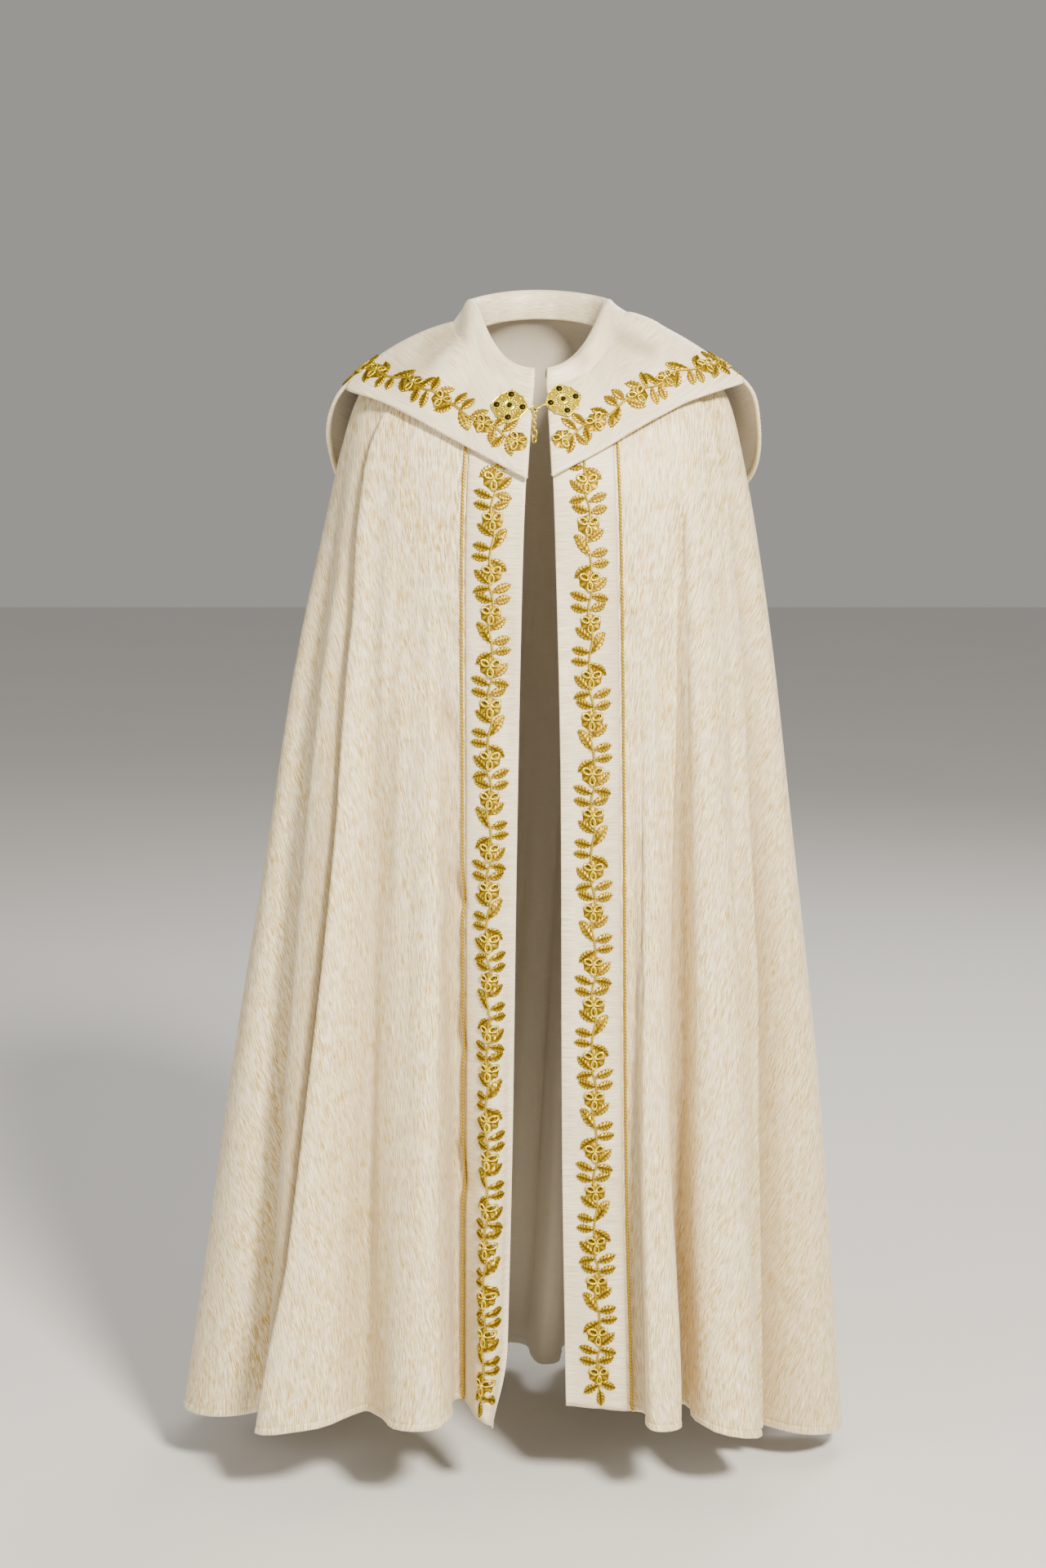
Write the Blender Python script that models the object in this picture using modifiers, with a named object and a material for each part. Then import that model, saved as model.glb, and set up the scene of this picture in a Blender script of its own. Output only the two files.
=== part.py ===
"""Cope: a semicircular cloak with a turned-down cape collar, two front bands and a hook clasp.

Metres, +Z up, the front towards -Y. The origin is the middle of the neck opening at the shoulders' height.
"""

import math
from collections import namedtuple

import bpy
import numpy as np
from mathutils import Matrix, Vector

CLOTH = 0.002
BAND_CLOTH = 0.0014
COLLAR_CLOTH = 0.0018
SEAM_GAP = 0.0004
CORD_RADIUS = 0.0015
FOLD_COLUMNS = 10
BAND_STEPS = (0.0, 0.12, 0.24, 0.36, 0.48, 0.60, 0.72, 0.84)
CORD_STEP = 0.90
BAND_TOP = 0.06
ROWS = (0.0, 0.03, 0.06, 0.09, 0.12, 0.15, 0.18, 0.22, 0.28, 0.36, 0.45, 0.54, 0.63, 0.72, 0.81, 0.905, 1.0)

Level = namedtuple("Level", "down z_front z_left z_right z_back left right front back square")
LEVELS = (
    Level(0.00, -0.066, -0.004, -0.004, 0.010, 0.074, 0.082, -0.080, 0.064, 2.0),
    Level(0.045, -0.095, -0.018, -0.018, -0.018, 0.122, 0.130, -0.102, 0.090, 2.1),
    Level(0.09, -0.135, -0.045, -0.045, -0.062, 0.174, 0.188, -0.122, 0.112, 2.2),
    Level(0.13, -0.175, -0.085, -0.085, -0.115, 0.212, 0.228, -0.137, 0.127, 2.3),
    Level(0.17, -0.220, -0.145, -0.145, -0.175, 0.230, 0.243, -0.147, 0.136, 2.4),
    Level(0.24, -0.305, -0.240, -0.240, -0.265, 0.247, 0.256, -0.152, 0.143, 2.5),
    Level(0.40, -0.505, -0.455, -0.460, -0.475, 0.280, 0.274, -0.150, 0.152, 2.5),
    Level(0.60, -0.765, -0.745, -0.755, -0.765, 0.309, 0.285, -0.146, 0.165, 2.4),
    Level(0.80, -1.035, -1.045, -1.065, -1.075, 0.335, 0.294, -0.142, 0.180, 2.3),
    Level(1.00, -1.300, -1.352, -1.392, -1.390, 0.360, 0.298, -0.138, 0.196, 2.2),
)

Front = namedtuple("Front", "down gap_left gap_right band_left band_right")
FRONTS = (
    Front(0.00, 0.004, 0.012, 0.083, 0.086),
    Front(0.20, 0.016, 0.021, 0.080, 0.085),
    Front(0.45, 0.023, 0.028, 0.072, 0.082),
    Front(0.75, 0.029, 0.030, 0.064, 0.083),
    Front(1.00, 0.037, 0.035, 0.057, 0.085),
)

Fold = namedtuple("Fold", "name pitch rise fat waist lean start foot")
LEFT_BAND = Fold("left_band", 0.0, 0.036, 0.0, 0.0, -0.12, 0.25, 0.012)
RIGHT_BAND = Fold("right_band", 0.0, 0.003, 0.0, 0.0, 0.00, 0.25, 0.030)
LAST_FOOT = 0.022
FOLDS = (
    Fold("front_left_1", 0.130, 0.084, 0.50, 0.40, -0.24, 0.30, 0.002),
    Fold("front_left_2", 0.136, 0.092, 0.45, 0.45, 0.24, 0.10, 0.036),
    Fold("side_left", 0.165, 0.082, 0.40, 0.50, 0.04, 0.10, 0.004),
    Fold("back_1", 0.135, 0.098, 0.45, 0.55, 0.06, 0.18, 0.006),
    Fold("back_2", 0.118, 0.086, 0.45, 0.60, -0.03, 0.24, 0.004),
    Fold("back_3", 0.142, 0.104, 0.42, 0.55, 0.05, 0.20, 0.010),
    Fold("back_4", 0.124, 0.090, 0.45, 0.60, 0.00, 0.22, 0.002),
    Fold("back_5", 0.140, 0.102, 0.45, 0.52, -0.05, 0.20, 0.008),
    Fold("back_6", 0.116, 0.084, 0.45, 0.60, 0.03, 0.24, 0.004),
    Fold("back_7", 0.132, 0.096, 0.42, 0.55, -0.05, 0.18, 0.006),
    Fold("side_right", 0.172, 0.090, 0.40, 0.50, -0.10, 0.10, 0.008),
    Fold("front_right_2", 0.112, 0.092, 0.70, 0.95, 0.24, 0.09, 0.000),
    Fold("front_right_1", 0.080, 0.088, 0.40, 0.90, 0.28, 0.36, -0.020),
)
ZONES = (LEFT_BAND,) + FOLDS + (RIGHT_BAND,)
FEET = np.array([zone.foot for zone in ZONES] + [LAST_FOOT])
LAST = float(len(ZONES))
PITCHES = np.array([fold.pitch for fold in FOLDS])


def between(table, column, at):
    """A smooth curve through one column of a table that never swings past its rows."""
    x = np.array([row[0] for row in table])
    y = np.array([getattr(row, column) for row in table])
    slope = np.diff(y) / np.diff(x)
    tangent = np.zeros(len(x))
    tangent[0], tangent[-1] = slope[0], slope[-1]
    same = slope[:-1] * slope[1:] > 0
    middle = 2 * slope[:-1] * slope[1:] / np.where(same, slope[:-1] + slope[1:], 1.0)
    tangent[1:-1] = np.where(same, middle, 0.0)
    i = np.clip(np.searchsorted(x, at, side="right") - 1, 0, len(x) - 2)
    width = x[i + 1] - x[i]
    t = (at - x[i]) / width
    first = y[i] * (1 + 2 * t) * (1 - t) ** 2 + y[i + 1] * t * t * (3 - 2 * t)
    return first + width * (tangent[i] * t * (1 - t) ** 2 - tangent[i + 1] * t * t * (1 - t))


def oval(down):
    """The plain section at one level as distances round it, points and outward normals, from the middle of the front."""
    size = {name: float(between(LEVELS, name, down)) for name in Level._fields[1:]}
    angle = np.linspace(0.0, 2 * math.pi, 1441)
    power = 2.0 / size["square"]
    sine, cosine = np.sin(angle), np.cos(angle)
    across = -np.sign(sine) * np.abs(sine) ** power
    ahead = np.sign(cosine) * np.abs(cosine) ** power
    x = across * np.where(across < 0, size["left"], size["right"])
    y = ahead * np.where(ahead > 0, size["front"], -size["back"])
    end = np.where(ahead > 0, size["z_front"], size["z_back"])
    side = np.where(across < 0, size["z_left"], size["z_right"])
    z = side + (end - side) * np.abs(ahead) ** 1.6
    points = np.stack([x, y, z], axis=1)
    steps = np.hypot(np.diff(x), np.diff(y))
    way = np.concatenate([[0.0], np.cumsum(steps)])
    along = np.gradient(points[:, :2], axis=0)
    along[0] = along[-1] = along[0] + along[-1]
    along /= np.linalg.norm(along, axis=1)[:, None] + 1e-12
    normal = np.stack([-along[:, 1], along[:, 0]], axis=1)
    return way, points, normal


def looked_up(way, values, at):
    at = np.mod(at, way[-1])
    return np.stack([np.interp(at, way, values[:, k]) for k in range(values.shape[1])], axis=1)


def row_of(columns, down):
    """The points of the cloth's middle at one level. A column's whole part is its zone and the rest is the way across it."""
    way, points, normal = oval(down)
    gap_left, gap_right, band_left, band_right = (
        float(between(FRONTS, name, down)) for name in Front._fields[1:]
    )
    folded = way[-1] - gap_left - gap_right - band_left - band_right
    widths = np.concatenate([[band_left], folded * PITCHES / PITCHES.sum(), [band_right]])
    starts = gap_left + np.concatenate([[0.0], np.cumsum(widths)])
    zone = np.clip(np.floor(columns).astype(int), 0, len(ZONES) - 1)
    t = columns - zone
    inside = np.clip(t, 0.0, 1.0)
    column = {name: np.array([getattr(z, name) for z in ZONES])[zone] for name in Fold._fields[2:]}
    grown = np.clip((down - column["start"]) / (1 - column["start"]), 0.0, 1.0)
    grown = grown * (1 - 0.35 * (1 - grown) ** 2)
    bump = (1 - np.cos(2 * math.pi * inside)) / 2
    shift = (
        -column["fat"] * np.sin(2 * math.pi * inside) / (2 * math.pi)
        + column["waist"] * np.sin(4 * math.pi * inside) / (4 * math.pi)
        + column["lean"] * bump
    )
    at = starts[zone] + widths[zone] * (t + grown ** 0.5 * shift)
    base = looked_up(way, points, at)
    out = looked_up(way, normal, at)
    eased = inside * inside * (3 - 2 * inside)
    foot = FEET[zone] * (1 - eased) + FEET[zone + 1] * eased
    height = grown * column["rise"] * bump + foot * np.clip((down - 0.2) / 0.8, 0.0, 1.0) ** 1.3
    base[:, :2] += out * height[:, None]
    return base


def grid_of(columns, rows):
    columns = np.asarray(columns, float)
    return np.array([row_of(columns, down) for down in rows])


def normals_of(grid):
    """Unit normals of a grid of points, facing away from the wearer."""
    across = np.gradient(grid, axis=1)
    downward = np.gradient(grid, axis=0)
    normal = np.cross(downward, across)
    normal /= np.linalg.norm(normal, axis=2)[:, :, None]
    middle = grid[len(grid) // 2, len(grid[0]) // 2]
    facing = np.sign(np.dot(normal[len(grid) // 2, len(grid[0]) // 2, :2], middle[:2]))
    return normal * facing


def material_of(name, colour, metallic, roughness):
    material = bpy.data.materials.new(name)
    material.use_nodes = True
    shader = material.node_tree.nodes["Principled BSDF"]
    shader.inputs["Base Color"].default_value = (*colour, 1.0)
    shader.inputs["Metallic"].default_value = metallic
    shader.inputs["Roughness"].default_value = roughness
    return material


def place(name, data, material):
    thing = bpy.data.objects.new(name, data)
    thing.data.materials.append(material)
    collection.objects.link(thing)
    return thing


def cloth_of(name, grid, thickness, material):
    """A wall of cloth round an open grid of points."""
    rows, columns = grid.shape[:2]
    quads = [
        (r * columns + c, r * columns + c + 1, (r + 1) * columns + c + 1, (r + 1) * columns + c)
        for r in range(rows - 1)
        for c in range(columns - 1)
    ]
    mesh = bpy.data.meshes.new(name)
    mesh.from_pydata(grid.reshape(-1, 3).tolist(), [], quads)
    mesh.update()
    thing = place(name, mesh, material)
    wall = thing.modifiers.new("wall", "SOLIDIFY")
    wall.thickness = thickness
    wall.offset = 0.0
    return thing


for old in list(bpy.data.objects):
    bpy.data.objects.remove(old)
collection = bpy.data.collections.new("cope")
bpy.context.scene.collection.children.link(collection)

brocade = material_of("gold_flecked_ivory", (0.76, 0.69, 0.55), 0.0, 0.6)
satin = material_of("ivory_satin", (0.80, 0.75, 0.68), 0.0, 0.4)
gold_cord = material_of("gold_cord", (0.72, 0.52, 0.17), 0.4, 0.45)
brass = material_of("gilt_metal", (0.80, 0.60, 0.22), 1.0, 0.3)

fold_columns = np.arange(len(FOLDS) * FOLD_COLUMNS + 1) / FOLD_COLUMNS + 1.0
left_columns = np.array(BAND_STEPS)
right_columns = LAST - left_columns[::-1]
body_columns = np.concatenate([left_columns, [CORD_STEP], fold_columns, [LAST - CORD_STEP], right_columns])
body = grid_of(body_columns, ROWS)
outward = normals_of(body)
cloth_of("body", body, CLOTH, brocade)

band_lift = CLOTH / 2 + SEAM_GAP + BAND_CLOTH / 2
steps = len(BAND_STEPS)
top = ROWS.index(BAND_TOP)
banded = (body + band_lift * outward)[top:]
cloth_of("orphrey_left", banded[:, :steps], BAND_CLOTH, satin)
cloth_of("orphrey_right", banded[:, -steps:], BAND_CLOTH, satin)


def cord_of(name, points, radius, material, closed=False, sides=1):
    curve = bpy.data.curves.new(name, "CURVE")
    curve.dimensions = "3D"
    curve.bevel_depth = radius
    curve.bevel_resolution = sides
    curve.use_fill_caps = not closed
    line = curve.splines.new("POLY")
    line.points.add(len(points) - 1)
    for point, place_at in zip(line.points, points):
        point.co = (*place_at, 1.0)
    line.use_cyclic_u = closed
    return place(name, curve, material)


cord_lift = CLOTH / 2 + SEAM_GAP + CORD_RADIUS
corded = (body + cord_lift * outward)[top:]
cord_of("piping_left", corded[:, steps], CORD_RADIUS, gold_cord)
cord_of("piping_right", corded[:, -steps - 1], CORD_RADIUS, gold_cord)

COLLAR_POINT = (0.018, -0.181)
COLLAR_SLOPE = 0.52
SHOULDER_Y, SHOULDER_Z = -0.025, -0.072
BACK_Z = -0.235
ROLL = (
    (-0.0024, -0.003),
    (-0.0036, 0.012),
    (-0.0020, 0.026),
    (0.0045, 0.032),
    (0.0120, 0.026),
)
COLLAR_LIFT = 0.0064
SPRING = (0.007, 0.016)
FLARE = (0.015, 0.023)


def eased(value, low, high):
    """0 below low, 1 above high and a smooth rise between them."""
    t = np.clip((value - low) / (high - low), 0.0, 1.0)
    return t * t * (3 - 2 * t)


def sided(amounts, side):
    """The first amount at side -1, the second at side 1 and a mixture between them."""
    left, right = amounts
    return (left + right) / 2 + np.clip(side, -1.0, 1.0) * (right - left) / 2


def collar_bottom(x, y):
    """The height of the collar's lower edge: straight from each front point to the shoulder, then dropping round the back."""
    front = COLLAR_POINT[1] + COLLAR_SLOPE * (abs(x) - COLLAR_POINT[0])
    if y < SHOULDER_Y:
        return min(front, SHOULDER_Z)
    back = min((y - SHOULDER_Y) / (0.128 - SHOULDER_Y), 1.0)
    return SHOULDER_Z + (BACK_Z - SHOULDER_Z) * (1 - (1 - back) ** 1.5)


def edge_of(column):
    """How far down the cloth the collar's edge lies over one column."""
    high, low = 0.02, 0.30
    for _ in range(24):
        middle = (high + low) / 2
        x, y, z = row_of(np.array([column]), middle)[0]
        high, low = (middle, low) if z > collar_bottom(x, y) else (high, middle)
    return (high + low) / 2


collar_columns = np.concatenate([np.arange(20) / 4.0, np.arange(15, 33) / 3.0, np.arange(44, 61) / 4.0])
edges = np.array([edge_of(column) for column in collar_columns])
shares = np.linspace(0.0, 1.0, 8)
levels = 0.022 + (edges - 0.022) * shares[:, None]
fall = np.array([[row_of(np.array([c]), down)[0] for c, down in zip(collar_columns, row)] for row in levels])
fall = fall + (COLLAR_LIFT + 0.002 * shares)[:, None, None] * normals_of(fall)
neck = row_of(collar_columns, 0.0)
spring = sided(SPRING, fall[0, :, 0] / 0.09) * eased(neck[:, 1], -0.060, -0.010)
fall[:, :, 2] += spring * (1 - eased(levels, 0.03, 0.13))
rim = fall[-1]
flare = sided(FLARE, rim[:, 0] / 0.15) * eased(np.abs(rim[:, 0]), 0.12, 0.20) * eased(rim[:, 1], -0.10, -0.03)
rim_out = rim * (1.0, 1.0, 0.0)
rim_out /= np.linalg.norm(rim_out, axis=1)[:, None]
fall = fall + (flare * shares[:, None] ** 2)[:, :, None] * rim_out
way_out = neck * (1.0, 1.0, 0.0)
way_out /= np.linalg.norm(way_out, axis=1)[:, None]
upright = 0.30 + 0.70 * eased(neck[:, 1], -0.080, -0.020)
stand = np.array([neck + out * way_out + np.outer(upright * up, (0.0, 0.0, 1.0)) for out, up in ROLL])
cloth_of("collar", np.concatenate([stand, fall]), COLLAR_CLOTH, satin)

MEDALLION = 0.0225
PLATE = 0.0016
RING_RADIUS, RING_WIRE = 0.0040, 0.0009
HOOK_WIRE = 0.0009
LINK_GAP = 0.0003
Link = namedtuple("Link", "name tall half_wide wire turn")
LINKS = (
    Link("chain_link_1", 0.0070, 0.0022, 0.0007, 0),
    Link("chain_link_2", 0.0060, 0.0022, 0.0007, 90),
    Link("chain_link_3", 0.0060, 0.0022, 0.0007, 0),
    Link("chain_link_4", 0.0060, 0.0022, 0.0007, 90),
    Link("chain_link_5", 0.0060, 0.0022, 0.0007, 0),
    Link("chain_ring_1", 0.0090, 0.0031, 0.0010, 80),
    Link("chain_ring_2", 0.0090, 0.0031, 0.0010, -35),
)

helpers = bpy.data.collections.new("helpers")
helpers.hide_render = True
bpy.context.scene.collection.children.link(helpers)


def helper(material):
    """Takes the primitive that was just made as a helper of a Boolean."""
    thing = bpy.context.object
    for home in list(thing.users_collection):
        home.objects.unlink(thing)
    thing.data.materials.append(material)
    thing.hide_render = True
    thing.display_type = "WIRE"
    return thing


def seat_of(x, z):
    """The frame of a flat plate lying on the collar at one place: its origin clear of the cloth, +Z away from the wearer."""
    near = fall[:, np.where(np.sign(fall[0, :, 0]) == np.sign(x))[0]].reshape(-1, 3)
    tree = [Vector(p) for p in near if abs(p[0] - x) < 0.045 and abs(p[2] - z) < 0.05 and p[1] < 0]
    count = len(tree)
    plane = np.array([[p.x, p.z, 1.0] for p in tree])
    slope_x, slope_z, level = np.linalg.lstsq(plane, np.array([p.y for p in tree]), rcond=None)[0]
    away = Vector((slope_x, -1.0, slope_z)).normalized()
    up = (Vector((0, 0, 1)) - away * away.z).normalized()
    right = up.cross(away)
    spot = Vector((x, slope_x * x + slope_z * z + level, z))
    reach = MEDALLION + 0.004
    high = max((p - spot).dot(away) for p in tree if (p - spot - away * (p - spot).dot(away)).length < reach + 0.012)
    spot += away * (high + COLLAR_CLOTH / 2 + SEAM_GAP)
    return Matrix.Translation(spot) @ Matrix((right, up, away)).transposed().to_4x4()


def medallion(name, frame, lobes=64):
    """A rounded lozenge plate with a boss in a ring, a beaded halo and a stone in each corner, fused into one piece."""
    angles = np.linspace(0, 2 * math.pi, lobes, endpoint=False)
    power = 1.35
    reach = MEDALLION / (np.abs(np.cos(angles)) ** power + np.abs(np.sin(angles)) ** power) ** (1 / power)
    leaf = np.abs(((angles / (math.pi / 2)) % 1.0) - 0.5) * 90
    reach += 0.0016 * np.clip(1 - leaf / 9, 0, 1)
    outline = np.stack([reach * np.cos(angles), reach * np.sin(angles)], axis=1)
    low = [(x, y, 0.0) for x, y in outline]
    high = [(0.97 * x, 0.97 * y, PLATE) for x, y in outline]
    sides = [(i, (i + 1) % lobes, lobes + (i + 1) % lobes, lobes + i) for i in range(lobes)]
    mesh = bpy.data.meshes.new(name)
    mesh.from_pydata(low + high, [], [list(range(lobes))[::-1], [lobes + i for i in range(lobes)]] + sides)
    thing = place(name, mesh, brass)
    added = bpy.data.collections.new(name + "_relief")
    helpers.children.link(added)
    for radius, wire in ((0.0054, 0.0011), (0.0103, 0.0008)):
        bpy.ops.mesh.primitive_torus_add(major_radius=radius, minor_radius=wire, major_segments=20, minor_segments=6)
        bpy.context.object.location = (0, 0, PLATE)
        added.objects.link(helper(brass))
    stones = [(0.0, 0.0, 0.0030, 0.0034)] + [
        (0.0152 * math.cos(turn), 0.0152 * math.sin(turn), 0.0034, 0.0026)
        for turn in np.arange(4) * math.pi / 2
    ]
    for x, y, radius, tall in stones:
        bpy.ops.mesh.primitive_cone_add(vertices=10, radius1=radius, radius2=radius * 0.45, depth=tall + 0.0006)
        bpy.context.object.location = (x, y, PLATE + (tall - 0.0006) / 2)
        added.objects.link(helper(brass))
    thing.matrix_world = frame
    return thing, added


def fused(thing, added, frame):
    for piece in added.objects:
        piece.matrix_world = frame @ Matrix.Translation(piece.location) @ piece.rotation_euler.to_matrix().to_4x4()
    union = thing.modifiers.new("relief", "BOOLEAN")
    union.operation = "UNION"
    union.operand_type = "COLLECTION"
    union.collection = added
    union.solver = "EXACT"


def bar_into(added, ends, radius):
    """A round bar between two places in the plate's own frame."""
    a, b = (Vector(end) for end in ends)
    bpy.ops.mesh.primitive_cylinder_add(vertices=8, radius=radius, depth=(b - a).length)
    bpy.context.object.location = (a + b) / 2
    bpy.context.object.rotation_euler = (b - a).to_track_quat("Z", "Y").to_euler()
    added.objects.link(helper(brass))


left_seat = seat_of(-0.032, -0.102) @ Matrix.Rotation(math.radians(-6), 4, "Z")
right_seat = seat_of(0.030, -0.095) @ Matrix.Rotation(math.radians(16), 4, "Z")
ring_home = (0.0296, 0.0, PLATE / 2)
left, left_relief = medallion("medallion_left", left_seat)
bpy.ops.mesh.primitive_torus_add(major_radius=RING_RADIUS, minor_radius=RING_WIRE, major_segments=20, minor_segments=8)
bpy.context.object.location = ring_home
left_relief.objects.link(helper(brass))
bar_into(left_relief, ((0.0200, 0.0, PLATE / 2), (0.0258, 0.0, PLATE / 2)), 0.0007)
fused(left, left_relief, left_seat)

ring = left_seat @ Vector(ring_home)
right_way = (left_seat.to_3x3() @ Vector((1, 0, 0))).normalized()
up_way = (left_seat.to_3x3() @ Vector((0, 1, 0))).normalized()
away = right_way.cross(up_way)
right, right_relief = medallion("medallion_right", right_seat)
home = right_seat.inverted()
root = Vector((-0.0205, 0.0, PLATE / 2))
crook = home @ (ring + 0.0052 * right_way + 0.0030 * away)
through = home @ (ring + 0.0003 * right_way + 0.0004 * up_way + 0.0022 * away)
behind = home @ (ring + 0.0003 * right_way + 0.0004 * up_way - 0.0022 * away)
for ends in ((root, crook), (crook, through), (through, behind)):
    bar_into(right_relief, ends, HOOK_WIRE)
for spot in (crook, through):
    bpy.ops.mesh.primitive_uv_sphere_add(segments=8, ring_count=6, radius=HOOK_WIRE * 1.15)
    bpy.context.object.location = spot
    right_relief.objects.link(helper(brass))
fused(right, right_relief, right_seat)

pivot = ring - RING_RADIUS * up_way
level = Vector((right_way.x, right_way.y, 0.0)).normalized()
facing = math.atan2(level.y, level.x)
top, above = pivot.z + RING_WIRE + LINK_GAP, 0.0
for link in LINKS:
    centre = Vector((pivot.x, pivot.y, top + link.wire - link.tall / 2))
    turned = facing + math.pi / 2 + math.radians(link.turn)
    side = Vector((math.cos(turned), math.sin(turned), 0.0))
    points = [
        centre + link.half_wide * math.cos(a) * side + Vector((0, 0, link.tall / 2 * math.sin(a)))
        for a in np.linspace(0, 2 * math.pi, 12, endpoint=False)
    ]
    cord_of(link.name, points, link.wire, brass, closed=True)
    top = centre.z - link.tall / 2 + link.wire + LINK_GAP
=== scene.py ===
"""Cope: the finished cloth, satin bands and collar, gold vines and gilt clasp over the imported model.

Metres, +Z up, the front towards -Y. The origin is the middle of the neck opening at the shoulders' height.
"""

import math
from collections import namedtuple

import bpy
import numpy as np
from mathutils import Matrix, Vector
from mathutils.bvhtree import BVHTree


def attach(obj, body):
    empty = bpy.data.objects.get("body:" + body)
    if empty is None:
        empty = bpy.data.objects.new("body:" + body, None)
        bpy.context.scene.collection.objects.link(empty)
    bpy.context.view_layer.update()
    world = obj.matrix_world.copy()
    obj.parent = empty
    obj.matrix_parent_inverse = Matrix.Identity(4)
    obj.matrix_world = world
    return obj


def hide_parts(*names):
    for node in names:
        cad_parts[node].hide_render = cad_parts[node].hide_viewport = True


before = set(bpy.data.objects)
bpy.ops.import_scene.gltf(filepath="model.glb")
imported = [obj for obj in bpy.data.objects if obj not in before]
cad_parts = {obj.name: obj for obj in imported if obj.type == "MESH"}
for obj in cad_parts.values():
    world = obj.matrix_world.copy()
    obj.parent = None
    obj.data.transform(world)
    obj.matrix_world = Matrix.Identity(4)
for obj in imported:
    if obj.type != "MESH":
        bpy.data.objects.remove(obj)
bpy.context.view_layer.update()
bpy.ops.object.select_all(action="DESELECT")

# The cloth's own sizes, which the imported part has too
CLOTH = 0.002
BAND_CLOTH = 0.0014
COLLAR_CLOTH = 0.0018
SEAM_GAP = 0.0004
CORD_RADIUS = 0.0015
BAND_EDGE = 0.84
CORD_STEP = 0.90
BAND_TOP = 0.06
OVAL_STEPS = 1441
END_POWER = 1.6
LATE_GROWTH = 0.35
FOOT_START = 0.2
FOOT_POWER = 1.3

Level = namedtuple("Level", "down z_front z_left z_right z_back left right front back square")
LEVELS = (
    Level(0.00, -0.066, -0.004, -0.004, 0.010, 0.074, 0.082, -0.080, 0.064, 2.0),
    Level(0.045, -0.095, -0.018, -0.018, -0.018, 0.122, 0.130, -0.102, 0.090, 2.1),
    Level(0.09, -0.135, -0.045, -0.045, -0.062, 0.174, 0.188, -0.122, 0.112, 2.2),
    Level(0.13, -0.175, -0.085, -0.085, -0.115, 0.212, 0.228, -0.137, 0.127, 2.3),
    Level(0.17, -0.220, -0.145, -0.145, -0.175, 0.230, 0.243, -0.147, 0.136, 2.4),
    Level(0.24, -0.305, -0.240, -0.240, -0.265, 0.247, 0.256, -0.152, 0.143, 2.5),
    Level(0.40, -0.505, -0.455, -0.460, -0.475, 0.280, 0.274, -0.150, 0.152, 2.5),
    Level(0.60, -0.765, -0.745, -0.755, -0.765, 0.309, 0.285, -0.146, 0.165, 2.4),
    Level(0.80, -1.035, -1.045, -1.065, -1.075, 0.335, 0.294, -0.142, 0.180, 2.3),
    Level(1.00, -1.300, -1.352, -1.392, -1.390, 0.360, 0.298, -0.138, 0.196, 2.2),
)

Front = namedtuple("Front", "down gap_left gap_right band_left band_right")
FRONTS = (
    Front(0.00, 0.004, 0.012, 0.083, 0.086),
    Front(0.20, 0.016, 0.021, 0.080, 0.085),
    Front(0.45, 0.023, 0.028, 0.072, 0.082),
    Front(0.75, 0.029, 0.030, 0.064, 0.083),
    Front(1.00, 0.037, 0.035, 0.057, 0.085),
)

Fold = namedtuple("Fold", "name pitch rise fat waist lean start foot")
LEFT_BAND = Fold("left_band", 0.0, 0.036, 0.0, 0.0, -0.12, 0.25, 0.012)
RIGHT_BAND = Fold("right_band", 0.0, 0.003, 0.0, 0.0, 0.00, 0.25, 0.030)
LAST_FOOT = 0.022
FOLDS = (
    Fold("front_left_1", 0.130, 0.084, 0.50, 0.40, -0.24, 0.30, 0.002),
    Fold("front_left_2", 0.136, 0.092, 0.45, 0.45, 0.24, 0.10, 0.036),
    Fold("side_left", 0.165, 0.082, 0.40, 0.50, 0.04, 0.10, 0.004),
    Fold("back_1", 0.135, 0.098, 0.45, 0.55, 0.06, 0.18, 0.006),
    Fold("back_2", 0.118, 0.086, 0.45, 0.60, -0.03, 0.24, 0.004),
    Fold("back_3", 0.142, 0.104, 0.42, 0.55, 0.05, 0.20, 0.010),
    Fold("back_4", 0.124, 0.090, 0.45, 0.60, 0.00, 0.22, 0.002),
    Fold("back_5", 0.140, 0.102, 0.45, 0.52, -0.05, 0.20, 0.008),
    Fold("back_6", 0.116, 0.084, 0.45, 0.60, 0.03, 0.24, 0.004),
    Fold("back_7", 0.132, 0.096, 0.42, 0.55, -0.05, 0.18, 0.006),
    Fold("side_right", 0.172, 0.090, 0.40, 0.50, -0.10, 0.10, 0.008),
    Fold("front_right_2", 0.112, 0.092, 0.70, 0.95, 0.24, 0.09, 0.000),
    Fold("front_right_1", 0.080, 0.088, 0.40, 0.90, 0.28, 0.36, -0.020),
)
ZONES = (LEFT_BAND,) + FOLDS + (RIGHT_BAND,)
FEET = np.array([zone.foot for zone in ZONES] + [LAST_FOOT])
LAST = float(len(ZONES))
PITCHES = np.array([fold.pitch for fold in FOLDS])


def between(table, column, at):
    """A smooth curve through one column of a table that never swings past its rows."""
    x = np.array([row[0] for row in table])
    y = np.array([getattr(row, column) for row in table])
    slope = np.diff(y) / np.diff(x)
    tangent = np.zeros(len(x))
    tangent[0], tangent[-1] = slope[0], slope[-1]
    same = slope[:-1] * slope[1:] > 0
    middle = 2 * slope[:-1] * slope[1:] / np.where(same, slope[:-1] + slope[1:], 1.0)
    tangent[1:-1] = np.where(same, middle, 0.0)
    i = np.clip(np.searchsorted(x, at, side="right") - 1, 0, len(x) - 2)
    width = x[i + 1] - x[i]
    t = (at - x[i]) / width
    first = y[i] * (1 + 2 * t) * (1 - t) ** 2 + y[i + 1] * t * t * (3 - 2 * t)
    return first + width * (tangent[i] * t * (1 - t) ** 2 - tangent[i + 1] * t * t * (1 - t))


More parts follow.
